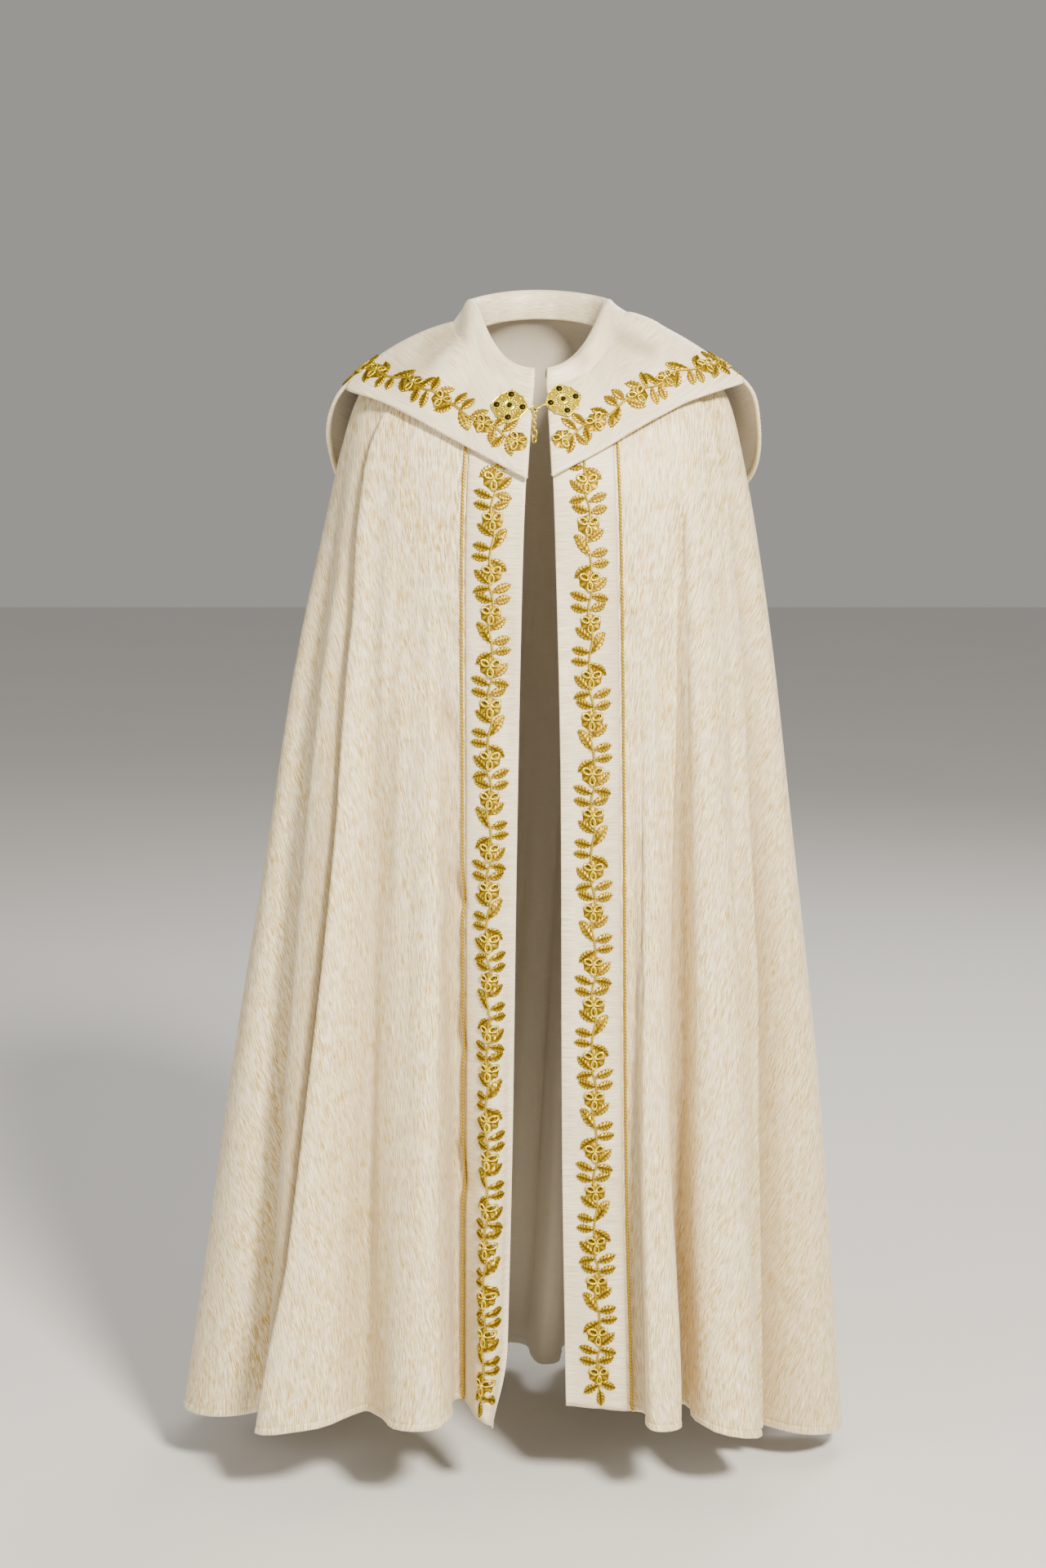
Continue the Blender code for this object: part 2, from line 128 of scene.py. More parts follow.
def oval(down):
    """The plain section at one level: distances round it from the front, points and outward normals."""
    size = {name: float(between(LEVELS, name, down)) for name in Level._fields[1:]}
    angle = np.linspace(0.0, 2 * math.pi, OVAL_STEPS)
    power = 2.0 / size["square"]
    sine, cosine = np.sin(angle), np.cos(angle)
    across = -np.sign(sine) * np.abs(sine) ** power
    ahead = np.sign(cosine) * np.abs(cosine) ** power
    x = across * np.where(across < 0, size["left"], size["right"])
    y = ahead * np.where(ahead > 0, size["front"], -size["back"])
    end = np.where(ahead > 0, size["z_front"], size["z_back"])
    side = np.where(across < 0, size["z_left"], size["z_right"])
    z = side + (end - side) * np.abs(ahead) ** END_POWER
    points = np.stack([x, y, z], axis=1)
    steps = np.hypot(np.diff(x), np.diff(y))
    way = np.concatenate([[0.0], np.cumsum(steps)])
    along = np.gradient(points[:, :2], axis=0)
    along[0] = along[-1] = along[0] + along[-1]
    along /= np.linalg.norm(along, axis=1)[:, None] + 1e-12
    normal = np.stack([-along[:, 1], along[:, 0]], axis=1)
    return way, points, normal


def looked_up(way, values, at):
    at = np.mod(at, way[-1])
    return np.stack([np.interp(at, way, values[:, k]) for k in range(values.shape[1])], axis=1)


def row_of(columns, down):
    """The cloth's middle at one level. A column's whole part is its zone, the rest the way across it."""
    way, points, normal = oval(down)
    gap_left, gap_right, band_left, band_right = (
        float(between(FRONTS, name, down)) for name in Front._fields[1:]
    )
    folded = way[-1] - gap_left - gap_right - band_left - band_right
    widths = np.concatenate([[band_left], folded * PITCHES / PITCHES.sum(), [band_right]])
    starts = gap_left + np.concatenate([[0.0], np.cumsum(widths)])
    zone = np.clip(np.floor(columns).astype(int), 0, len(ZONES) - 1)
    t = columns - zone
    inside = np.clip(t, 0.0, 1.0)
    column = {name: np.array([getattr(z, name) for z in ZONES])[zone] for name in Fold._fields[2:]}
    grown = np.clip((down - column["start"]) / (1 - column["start"]), 0.0, 1.0)
    grown = grown * (1 - LATE_GROWTH * (1 - grown) ** 2)
    bump = (1 - np.cos(2 * math.pi * inside)) / 2
    shift = (
        -column["fat"] * np.sin(2 * math.pi * inside) / (2 * math.pi)
        + column["waist"] * np.sin(4 * math.pi * inside) / (4 * math.pi)
        + column["lean"] * bump
    )
    at = starts[zone] + widths[zone] * (t + grown ** 0.5 * shift)
    base = looked_up(way, points, at)
    out = looked_up(way, normal, at)
    blend = inside * inside * (3 - 2 * inside)
    foot = FEET[zone] * (1 - blend) + FEET[zone + 1] * blend
    flared = np.clip((down - FOOT_START) / (1 - FOOT_START), 0.0, 1.0) ** FOOT_POWER
    height = grown * column["rise"] * bump + foot * flared
    base[:, :2] += out * height[:, None]
    return base


def crossed(grid):
    """Unit normals of a grid of points, down its rows crossed with along its columns."""
    normal = np.cross(np.gradient(grid, axis=0), np.gradient(grid, axis=1))
    return normal / (np.linalg.norm(normal, axis=2)[:, :, None] + 1e-12)


BACK_COLUMNS = np.array([6.4, 6.5, 6.6])
back_patch = np.array([row_of(BACK_COLUMNS, down) for down in (0.50, 0.51, 0.52)])
FACE_FLIP = bool(crossed(back_patch)[1, 1, 1] < 0)


def normals_of(grid):
    """Unit normals of a grid of points, facing away from the cope's inside."""
    return -crossed(grid) if FACE_FLIP else crossed(grid)


Crease = namedtuple("Crease", "x_top z_top x_low z_low wide deep")
CREASES = (
    Crease(-0.116, -0.435, -0.094, -0.510, 0.0085, 0.0101),
    Crease(-0.131, -0.452, -0.108, -0.532, 0.0090, -0.0043),
    Crease(-0.101, -0.636, -0.086, -0.700, 0.0080, 0.0090),
    Crease(-0.120, -0.640, -0.098, -0.722, 0.0090, -0.0038),
    Crease(-0.104, -0.275, -0.088, -0.325, 0.0070, 0.0046),
    Crease(-0.110, -0.335, -0.090, -0.392, 0.0075, 0.0049),
    Crease(-0.108, -0.800, -0.084, -0.880, 0.0090, 0.0058),
    Crease(-0.104, -0.960, -0.082, -1.050, 0.0095, 0.0058),
    Crease(0.172, -0.195, 0.156, -0.350, 0.0075, 0.0072),
    Crease(0.156, -0.350, 0.150, -0.440, 0.0080, 0.0052),
    Crease(0.114, -0.270, 0.098, -0.310, 0.0065, 0.0043),
    Crease(0.118, -0.338, 0.100, -0.392, 0.0065, 0.0049),
    Crease(0.122, -0.455, 0.104, -0.520, 0.0075, 0.0052),
    Crease(0.124, -0.590, 0.106, -0.660, 0.0080, 0.0049),
    Crease(0.126, -0.760, 0.108, -0.840, 0.0085, 0.0043),
    Crease(-0.205, -0.300, -0.262, -0.520, 0.0150, 0.0043),
    Crease(-0.176, -0.420, -0.196, -0.760, 0.0200, 0.0052),
    Crease(-0.142, -0.700, -0.140, -1.180, 0.0160, -0.0049),
    Crease(0.212, -0.180, 0.236, -0.520, 0.0110, -0.0061),
)
Ripple = namedtuple("Ripple", "round_it down_it phase high")
RIPPLES = (
    Ripple(31, 0.7, 0.4, 0.0016),
    Ripple(47, -1.1, 2.1, 0.0012),
    Ripple(73, 0.5, 4.0, 0.0008),
    Ripple(19, 2.3, 1.2, 0.0012),
)
HEM = 0.0058

Lap = namedtuple("Lap", "downs edge under deep spread")
LAPS = (
    Lap((0.16, 0.28, 0.47, 0.72, 0.86, 1.0), (2.41, 2.27, 2.27, 2.37, 2.43, 2.56), 1,
        (0.009, 0.017, 0.020, 0.020, 0.016, 0.009), 0.34),
    Lap((0.14, 0.25, 0.48, 0.62, 0.76, 1.0), (11.88, 11.95, 11.92, 11.88, 11.91, 11.91), -1,
        (0.006, 0.012, 0.014, 0.014, 0.014, 0.012), 0.26),
    Lap((0.17, 0.28, 0.45, 0.60, 0.80, 1.0), (12.70, 12.96, 13.08, 13.12, 13.20, 13.36), -1,
        (0.002, 0.004, 0.006, 0.006, 0.004, 0.002), 0.22),
    Lap((0.44, 0.52, 0.68, 0.82, 0.94, 1.0), (1.36, 1.37, 1.40, 1.41, 1.40, 1.40), -1,
        (0.000, 0.003, 0.005, 0.005, 0.004, 0.003), 0.30),
)


LAP_REACH = 0.45
LAP_EDGE = 0.020
LAP_OVER = 1.35
LAP_START = 0.06
LAP_ROLL = 0.22
CORNER_DROP = 0.034
CORNER_SWING = 0.017
HEM_THICK = 0.0006
STITCH_DEEP = 0.0007
BAND_STILLNESS = 0.30
# The body's painted shade: how far round to look for a fold's trough, how deep counts as full shade, and how
# strong the shade of folds and laps is
SHADE_REACH = 9
SHADE_FULL = 0.016
SHADE_OF_FOLD = 0.45
SHADE_OF_LAP = 0.9
SHADED_STRIP = 0.20


def eased(value, low, high):
    """0 below low, 1 above high and a smooth rise between them."""
    t = np.clip((value - low) / (high - low), 0.0, 1.0)
    return t * t * (3 - 2 * t)


def followed(columns, down):
    """Columns that run along each lap's edge near it, so that the edge stays between two of them."""
    moved = columns + 0.0 * down
    for lap in LAPS:
        middle = (min(lap.edge) + max(lap.edge)) / 2
        near = np.exp(-((columns - middle) / LAP_REACH) ** 2)
        moved = moved + near * (np.interp(down, lap.downs, lap.edge) - middle)
    return moved


def lap_marks(columns, down):
    """For each lap: the columns past its edge towards the cloth underneath, and how deep it is there."""
    for lap in LAPS:
        past = lap.under * (columns - np.interp(down, lap.downs, lap.edge))
        deep = np.interp(down, lap.downs, lap.deep) * eased(down, lap.downs[0] - LAP_START, lap.downs[0])
        yield lap, past, deep


def crease_mark(c, x, z):
    """How strongly a crease marks each point of the front, seen flat: 1 on its line and 0 away from it."""
    long_x, long_z = c.x_low - c.x_top, c.z_low - c.z_top
    length = math.hypot(long_x, long_z)
    along = ((x - c.x_top) * long_x + (z - c.z_top) * long_z) / length ** 2
    apart = ((x - c.x_top) * long_z - (z - c.z_top) * long_x) / length
    return np.exp(-(apart / c.wide) ** 2) * np.exp(-((along - 0.5) / 0.36) ** 4)


def drape(columns, rows):
    """The cloth's middle with its small creases and the turned hem, and its outward normals."""
    down = np.asarray(rows, float)[:, None]
    columns = followed(np.asarray(columns, float)[None, :], down)
    grid = np.array([row_of(line, level) for line, level in zip(columns, rows)])
    outward = normals_of(grid)
    share = columns / LAST
    off_bands = eased(columns, 0.9, 1.6) * eased(LAST - columns, 0.9, 1.6)
    wave = sum(
        r.high * np.sin(2 * math.pi * (r.round_it * share + r.down_it * down) + r.phase) for r in RIPPLES
    )
    out = wave * (BAND_STILLNESS + (1 - BAND_STILLNESS) * off_bands)
    out = out * eased(down, 0.14, 0.34) * (0.6 + 0.7 * down)
    x, z = grid[:, :, 0], grid[:, :, 2]
    facing = eased(-outward[:, :, 1], 0.15, 0.55)
    for c in CREASES:
        out = out - c.deep * crease_mark(c, x, z) * facing
    round_it = np.gradient(grid, axis=1)
    round_it /= np.linalg.norm(round_it, axis=2)[:, :, None] + 1e-12
    over = np.zeros_like(out)
    for lap, past, deep in lap_marks(columns, down):
        under = eased(past, -LAP_EDGE, LAP_EDGE) * np.exp(-(np.maximum(past, 0.0) / lap.spread) ** 2)
        rounded = LAP_ROLL * np.exp(-((past + 0.055) / 0.045) ** 2)
        out = out - deep * (under - rounded)
        at_edge = past / LAP_EDGE
        over = over - lap.under * LAP_OVER * deep * at_edge * np.exp(-at_edge ** 2)
    out = out + HEM_THICK * eased(down, 1 - HEM * 0.95, 1 - HEM * 0.80)
    out = out - STITCH_DEEP * np.exp(-((down - 1 + HEM) / 0.0006) ** 2)
    corner = eased(down, 0.93, 1.0) * np.clip(1 - columns / BAND_EDGE, 0.0, 1.0)
    moved = grid + out[:, :, None] * outward + over[:, :, None] * round_it
    moved[:, :, 2] -= CORNER_DROP * corner
    moved[:, :, 0] -= CORNER_SWING * corner * corner
    return moved, outward


def painted_shade_of(grid, outward, columns, rows):
    """How much painted shade each point gets, from 0 to 1: where it lies below the cloth beside it in a
    fold's trough, or in the shadowed strip just under a lap.
    """
    down = np.asarray(rows, float)[:, None]
    columns = followed(np.asarray(columns, float)[None, :], down)
    padded = np.pad(grid, ((0, 0), (SHADE_REACH, SHADE_REACH), (0, 0)), mode="edge")
    around = (padded[:, : -2 * SHADE_REACH] + padded[:, 2 * SHADE_REACH:]) / 2
    below = ((around - grid) * outward).sum(axis=2)
    hollow = SHADE_OF_FOLD * np.clip(below / SHADE_FULL, 0.0, 1.0)
    for _, past, deep in lap_marks(columns, down):
        away = np.exp(-(np.maximum(past, 0.0) / SHADED_STRIP) ** 1.5)
        hollow += SHADE_OF_LAP * np.minimum(deep / 0.012, 1.0) * away * eased(past, -0.004, 0.010)
    return np.clip(hollow, 0.0, 1.0)


def lengths_across(grid):
    steps = np.linalg.norm(np.diff(grid, axis=1), axis=2)
    return np.concatenate([np.zeros((len(grid), 1)), np.cumsum(steps, axis=1)], axis=1)


class Number:
    """A number on its way through a finish's nodes, so that sums on it read as plain sums."""

    def __init__(self, finish, socket):
        self.finish, self.socket = finish, socket

    def worked(self, operation, first, second):
        return self.finish.node("ShaderNodeMath", {"operation": operation}, {0: first, 1: second})

    def __add__(self, other):
        return self.worked("ADD", self, other)

    def __sub__(self, other):
        return self.worked("SUBTRACT", self, other)

    def __rsub__(self, other):
        return self.worked("SUBTRACT", other, self)

    def __mul__(self, other):
        return self.worked("MULTIPLY", self, other)

    __radd__ = __add__
    __rmul__ = __mul__


class Finish:
    """One material, with its fixed values set on the shader and its pattern made of nodes."""

    def __init__(self, name, **fixed):
        self.material = bpy.data.materials.new(name)
        self.material.use_nodes = True
        self.tree = self.material.node_tree
        self.shader = self.tree.nodes["Principled BSDF"]
        for socket, value in fixed.items():
            self.shader.inputs[socket.replace("_", " ")].default_value = value

    def node(self, kind, settings=None, inputs=None, output=0):
        node = self.tree.nodes.new(kind)
        for name, value in (settings or {}).items():
            if name == "stops":
                self.stop(node.color_ramp, value)
            else:
                setattr(node, name, value)
        for socket, value in (inputs or {}).items():
            self.feed(node.inputs[socket], value)
        return Number(self, node.outputs[output])

    def stop(self, ramp, stops):
        while len(ramp.elements) < len(stops):
            ramp.elements.new(1.0)
        for element, (at, colour) in zip(ramp.elements, stops):
            element.position, element.color = at, (*colour, 1.0)

    def feed(self, socket, value):
        if isinstance(value, Number):
            self.tree.links.new(value.socket, socket)
        else:
            socket.default_value = value

    def shade(self, name, value):
        self.feed(self.shader.inputs[name], value)

    def cut(self, name="cut"):
        return self.node("ShaderNodeUVMap", {"uv_map": name})

    def place(self):
        return self.node("ShaderNodeTexCoord", output=3)

    def stretched(self, where, x, y, z=1.0):
        return self.node("ShaderNodeMapping", None, {"Vector": where, "Scale": (x, y, z)})

    def noise(self, where, scale=1.0, detail=2.0, roughness=0.5):
        inputs = {"Vector": where, "Scale": scale, "Detail": detail, "Roughness": roughness}
        return self.node("ShaderNodeTexNoise", None, inputs)

    def waves(self, where, scale, direction="X", distortion=0.0):
        settings = {"wave_type": "BANDS", "bands_direction": direction}
        inputs = {"Vector": where, "Scale": scale, "Distortion": distortion}
        return self.node("ShaderNodeTexWave", settings, inputs, 1)

    def risen(self, value, low, high):
        inputs = {"Value": value, "From Min": low, "From Max": high}
        return self.node("ShaderNodeMapRange", {"interpolation_type": "SMOOTHSTEP"}, inputs)

    def mixed(self, share, first, second):
        """A colour between two, through the colour sockets of a Mix node."""
        colours = {
            socket: colour if isinstance(colour, Number) else (*colour, 1.0)
            for socket, colour in ((6, first), (7, second))
        }
        return self.node("ShaderNodeMix", {"data_type": "RGBA"}, {0: share, **colours}, 2)

    def ramp(self, value, *stops):
        return self.node("ShaderNodeValToRGB", {"stops": stops}, {0: value})

    def measured(self, name):
        return self.node("ShaderNodeAttribute", {"attribute_name": name}, output=2)

    def bump(self, height, strength, depth):
        inputs = {"Height": height, "Strength": strength, "Distance": depth}
        self.shade("Normal", self.node("ShaderNodeBump", None, inputs))


def brocade():
    """Ivory cloth with short slubs of gold running along the grain, and painted shade in its folds and under
    its laps.
    """
    cloth = Finish("ivory_cloth_with_gold_slubs", Roughness=0.58, Sheen_Weight=0.20, Sheen_Roughness=0.45)
    cut = cloth.cut()
    slub = cloth.noise(cloth.stretched(cut, 75, 1150), 1.0, 2.0, 0.55)
    broad = cloth.noise(cloth.stretched(cut, 34, 520), 1.0, 1.0, 0.50)
    thread = cloth.noise(cloth.stretched(cut, 55, 1700), 1.0, 1.0, 0.50)
    drift = cloth.noise(cloth.stretched(cut, 10.0, 42.0), 1.0, 2.0, 0.60)
    rib = cloth.noise(cloth.stretched(cut, 1300, 40), 1.0, 1.0, 0.4)
    streak = slub * 0.78 + broad * 0.22
    gold = cloth.risen(streak, 0.50, 0.57) * (0.50 + 0.50 * cloth.risen(drift, 0.36, 0.64))
    shade = cloth.risen(thread * 0.7 + broad * 0.3, 0.50, 0.57) * (0.95 - 0.35 * drift)
    pale = cloth.risen(streak, 0.48, 0.41) * 0.85
    ground = cloth.mixed(drift, (0.950, 0.850, 0.640), (0.970, 0.800, 0.420))
    ground = cloth.mixed(pale, ground, (1.000, 0.930, 0.740))
    ground = cloth.mixed(shade, ground, (0.380, 0.295, 0.175))
    colour = cloth.mixed(gold, ground, (0.550, 0.345, 0.050))
    # Painted shade: the cloth is darkened towards warm brown in the troughs of its folds and in the strips
    # under its laps
    colour = cloth.mixed(cloth.measured("hollow") * 0.85, colour, (0.360, 0.250, 0.120))
    colour = cloth.mixed(cloth.measured("edge") * 0.6, colour, (0.960, 0.890, 0.740))
    cloth.shade("Base Color", colour)
    cloth.shade("Roughness", 0.62 - 0.20 * gold)
    cloth.shade("Metallic", gold * 0.22)
    cloth.bump(slub * 0.6 + thread * 0.4 + rib * 0.25, 0.40, 0.0006)
    return cloth.material


def lining():
    """The plain back of the cloth."""
    cloth = Finish("plain_ivory_inside", Roughness=0.72, Sheen_Weight=0.15)
    cut = cloth.cut()
    weft = cloth.noise(cloth.stretched(cut, 40, 900), 1.0, 2.0, 0.5)
    warp = cloth.noise(cloth.stretched(cut, 900, 40), 1.0, 2.0, 0.5)
    threads = weft * 0.6 + warp * 0.4
    cloth.shade("Base Color", cloth.mixed(threads, (0.600, 0.530, 0.420), (0.780, 0.715, 0.600)))
    cloth.bump(weft + warp, 0.30, 0.0005)
    return cloth.material


def satin(name, low, high, roughness=0.40):
    """Satin with fine threads across it, with painted shade in its creases and beside the cord."""
    cloth = Finish(name, Sheen_Weight=0.25, Sheen_Roughness=0.35, Coat_Roughness=0.35)
    cut = cloth.cut()
    weft = cloth.noise(cloth.stretched(cut, 38, 1050), 1.0, 2.0, 0.6)
    warp = cloth.noise(cloth.stretched(cut, 1300, 60), 1.0, 1.0, 0.5)
    cloud = cloth.noise(cloth.stretched(cut, 14.0, 5.0), 1.0, 3.0, 0.5)
    colour = cloth.mixed(cloth.risen(weft, 0.38, 0.62), low, high)
    colour = cloth.mixed(cloth.risen(cloud, 0.38, 0.66) * 0.40, colour, tuple(0.82 * c for c in low))
    # Painted shade: darker in the collar's drag folds and on the bands beside the cord, where their shadows
    # fall
    colour = cloth.mixed(cloth.measured("hollow") * 0.75, colour, tuple(0.42 * c for c in low))
    cloth.shade("Base Color", colour)
    cloth.shade("Roughness", roughness + 0.12 * (weft - 0.5) + 0.08 * cloud)
    cloth.shade("Coat Weight", 0.05 + 0.06 * cloud)
    cloth.bump(weft * 0.7 + warp * 0.3 + cloud * 0.6, 0.30, 0.0006)
    return cloth.material


def gold_thread():
    """Laid gold thread: stitches side by side, with a painted highlight on top and painted shade in dark
    brown where they sink into the cloth.
    """
    thread = Finish("laid_gold_thread", Specular_Tint=(1.0, 0.86, 0.55, 1.0))
    relief = thread.measured("relief")
    cut = thread.cut()
    stitches = thread.waves(thread.stretched(cut, 1.0, 1.0), 420.0, "DIAGONAL", 1.2)
    worn = thread.noise(thread.place(), 260.0, 3.0, 0.6)
    # Painted light and shade by relief: near-black brown where the thread lies low, bright yellow on its
    # raised ribs and crests
    colour = thread.ramp(
        relief,
        (0.00, (0.045, 0.022, 0.001)),
        (0.30, (0.150, 0.085, 0.002)),
        (0.62, (0.400, 0.255, 0.004)),
        (1.00, (0.950, 0.760, 0.070)),
    )
    colour = thread.mixed(thread.risen(worn, 0.46, 0.72) * 0.40, colour, (0.280, 0.160, 0.004))
    thread.shade("Base Color", colour)
    thread.shade("Metallic", 0.62 + 0.25 * relief)
    thread.shade("Roughness", 0.50 - 0.20 * relief)
    thread.bump(stitches * 0.8 + worn * 0.5, 0.55, 0.0004)
    return thread.material


def gold_cord():
    """Two strands twisted together, with painted shade in the groove between them and a painted highlight on
    their crests.
    """
    cord = Finish("twisted_gold_cord", Specular_Tint=(1.0, 0.86, 0.55, 1.0))
    cut = cord.cut()
    fibre = cord.noise(cord.stretched(cut, 700, 2500), 1.0, 2.0, 0.5)
    relief = cord.measured("relief")
    # Painted light and shade by relief: dark in the groove between the strands, bright on their crests
    colour = cord.ramp(
        relief,
        (0.00, (0.120, 0.065, 0.002)),
        (0.55, (0.420, 0.265, 0.005)),
        (1.00, (0.800, 0.600, 0.045)),
    )
    cord.shade("Base Color", cord.mixed(fibre * 0.4, colour, (0.480, 0.290, 0.030)))
    cord.shade("Metallic", 0.40 + 0.25 * relief)
    cord.shade("Roughness", 0.46 + 0.14 * fibre)
    cord.bump(fibre, 0.4, 0.0003)
    return cord.material


def gilt():
    """Gilt brass, antiqued brown in the recesses."""
    metal = Finish("gilt_brass", Metallic=0.92)
    relief = metal.measured("relief")
    cast = metal.noise(metal.place(), 900.0, 3.0, 0.6)
    tarnish = metal.noise(metal.place(), 160.0, 3.0, 0.6)
    colour = metal.ramp(
        relief,
        (0.00, (0.030, 0.016, 0.002)),
        (0.14, (0.300, 0.200, 0.008)),
        (0.38, (0.860, 0.690, 0.040)),
        (1.00, (1.000, 0.920, 0.160)),
    )
    tarnished = metal.risen(tarnish, 0.56, 0.78) * 0.30
    metal.shade("Base Color", metal.mixed(tarnished, colour, (0.300, 0.180, 0.010)))
    metal.shade("Roughness", 0.36 - 0.12 * relief + 0.14 * cast)
    metal.bump(cast, 0.25, 0.0002)
    return metal.material


def floor_finish():
    paint = Finish("pale_floor", Roughness=0.75)
    soft = paint.noise(paint.place(), 1.2, 3.0, 0.5)
    paint.shade("Base Color", paint.mixed(soft, (0.700, 0.695, 0.685), (0.740, 0.735, 0.725)))
    return paint.material


BROCADE = brocade()
LINING = lining()
SATIN = satin("ivory_satin_face", (0.690, 0.570, 0.360), (0.960, 0.870, 0.650))
SATIN_UNDER = satin("ivory_satin_underside", (0.480, 0.450, 0.400), (0.600, 0.565, 0.510), 0.60)
THREAD = gold_thread()
CORD = gold_cord()
GILT = gilt()


def meshed(name, points, faces, materials, maps, measures):
    """A mesh object with its UV map in metres of flat cloth and its measured attributes."""
    mesh = bpy.data.meshes.new(name)
    mesh.from_pydata(np.asarray(points).tolist(), [], [list(face) for face in faces])
    mesh.update()
    corner = np.empty(len(mesh.loops), int)
    mesh.loops.foreach_get("vertex_index", corner)
    mesh.uv_layers.new(name="cut").data.foreach_set("uv", np.asarray(maps, float)[corner].ravel())
    for attribute, values in measures.items():
        layer = mesh.attributes.new(attribute, "FLOAT", "POINT")
        layer.data.foreach_set("value", np.asarray(values, float))
    for material in materials:
        mesh.materials.append(material)
    mesh.polygons.foreach_set("use_smooth", np.ones(len(mesh.polygons), bool))
    thing = bpy.data.objects.new(name, mesh)
    bpy.context.scene.collection.objects.link(thing)
    return thing


def applied(thing, kind, **settings):
    modifier = thing.modifiers.new(kind.lower(), kind)
    for name, value in settings.items():
        setattr(modifier, name, value)
    bpy.ops.object.select_all(action="DESELECT")
    thing.select_set(True)
    bpy.context.view_layer.objects.active = thing
    bpy.ops.object.modifier_apply(modifier=modifier.name)
    thing.select_set(False)
    return thing


def quads_of(rows, columns, turned):
    quads = []
    for r in range(rows - 1):
        for c in range(columns - 1):
            quad = (r * columns + c, (r + 1) * columns + c, (r + 1) * columns + c + 1, r * columns + c + 1)
            quads.append(quad[::-1] if turned else quad)
    return quads


def cloth_piece(name, grid, thickness, materials, cut, measures):
    """A wall of cloth round a grid of points: its outside in the first material, its inside in the last."""
    rows, columns = grid.shape[:2]
    faces = quads_of(rows, columns, FACE_FLIP)
    thing = meshed(name, grid.reshape(-1, 3), faces, materials, cut.reshape(-1, 2), measures)
    inside = len(materials) - 1
    wall = {"thickness": thickness, "offset": 0.0, "material_offset": inside, "use_quality_normals": True}
    return applied(thing, "SOLIDIFY", **wall)


# The body
FOLD_COLUMNS = 22
BODY_ROWS = 100
NECK_CUT = 0.08
CUT_DOWN = 1.39
edge_columns = np.linspace(0.0, 1.0, 17)[:-1]
fold_columns = 1.0 + np.arange(len(FOLDS) * FOLD_COLUMNS + 1) / FOLD_COLUMNS
lap_columns = [(min(lap.edge) + max(lap.edge)) / 2 + np.arange(-0.035, 0.036, 0.007) for lap in LAPS]
body_columns = np.concatenate([edge_columns, fold_columns, LAST - edge_columns, *lap_columns])
body_columns = np.unique(np.round(body_columns, 4))
hem_rows = 1.0 - HEM * np.array([1.45, 1.15, 1.0, 0.85, 0.6, 0.3])
body_rows = np.sort(np.concatenate([np.linspace(0.0, 1.0, BODY_ROWS), hem_rows]))
body_grid, body_outward = drape(body_columns, body_rows)
share = lengths_across(body_grid)
share = share / share[:, -1:]
powers = np.vander(body_rows, 6)
share = powers @ np.linalg.lstsq(powers, share, rcond=None)[0]
radius = NECK_CUT + CUT_DOWN * body_rows[:, None]
body_cut = np.stack([radius * np.cos(math.pi * share), radius * np.sin(math.pi * share)], axis=2)
hem_edge = np.repeat(eased(body_rows, 1 - HEM * 0.35, 1 - HEM * 0.05)[:, None], len(body_columns), axis=1)
# Painted shade for the body's cloth: darker in the troughs of its folds and in the strips under its laps,
# where their shadows fall
body_painted_shade = painted_shade_of(body_grid, body_outward, body_columns, body_rows)
body_measures = {"edge": hem_edge.ravel(), "hollow": body_painted_shade.ravel()}
body = cloth_piece("cope_body", body_grid, CLOTH, [BROCADE, LINING], body_cut, body_measures)
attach(body, "cope")
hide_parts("body")

# The bands down the front edges
BAND_LIFT = CLOTH / 2 + SEAM_GAP + BAND_CLOTH / 2
BAND_TURNING = 0.0016
CORD_SHADE = 0.005
band_rows = np.linspace(BAND_TOP, 1.0, 150)


def band(name, columns):
    """A satin band on the front edge, its long edges turned under."""
    grid, outward = drape(columns, band_rows)
    across = lengths_across(grid)
    width = across[:, -1:]
    turned = np.exp(-(across / BAND_TURNING) ** 2) + np.exp(-((width - across) / BAND_TURNING) ** 2)
    lift = BAND_LIFT + 0.0004 - 0.0005 * turned
    grid = grid + lift[:, :, None] * outward
    along = np.concatenate([[0.0], np.cumsum(np.linalg.norm(np.diff(grid[:, 8], axis=0), axis=1))])
    cut = np.stack([across, np.repeat(along[:, None], grid.shape[1], axis=1)], axis=2)
    # Painted shade on the band: the satin is darkened next to the cord, where the cord casts its shadow
    beside_cord = across if columns[0] > 1 else width - across
    shade = 0.55 * np.exp(-beside_cord / CORD_SHADE)
    thing = cloth_piece(name, grid, BAND_CLOTH, [SATIN], cut, {"hollow": shade.ravel()})
    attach(thing, "cope")
    return thing, grid, outward


edge_steps = np.array([0.0, 0.015, 0.035])
middle_steps = np.linspace(0.07, BAND_EDGE - 0.07, 14)
inner_steps = np.concatenate([edge_steps, middle_steps, BAND_EDGE - edge_steps[::-1]])
band_left, band_left_grid, band_left_out = band("band_left", inner_steps)
band_right, band_right_grid, band_right_out = band("band_right", LAST - inner_steps[::-1])
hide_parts("orphrey_left")
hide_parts("orphrey_right")


# The twisted cords beside the bands
TUBE_STEP = 0.62
CORD_LIFT = CLOTH / 2 + SEAM_GAP + CORD_RADIUS
CORD_SWELL = 1.1
CORD_SIDES = 10
CORD_STRANDS = 2
CORD_TWIST = 0.0085
CORD_GROOVE = 0.34
CORD_ROWS = 320


def resampled(points, step):
    """The same line with evenly spaced points."""
    way = np.concatenate([[0.0], np.cumsum(np.linalg.norm(np.diff(points, axis=0), axis=1))])
    at = np.linspace(0.0, way[-1], max(int(way[-1] / step), 2))
    return np.stack([np.interp(at, way, points[:, k]) for k in range(3)], axis=1), at


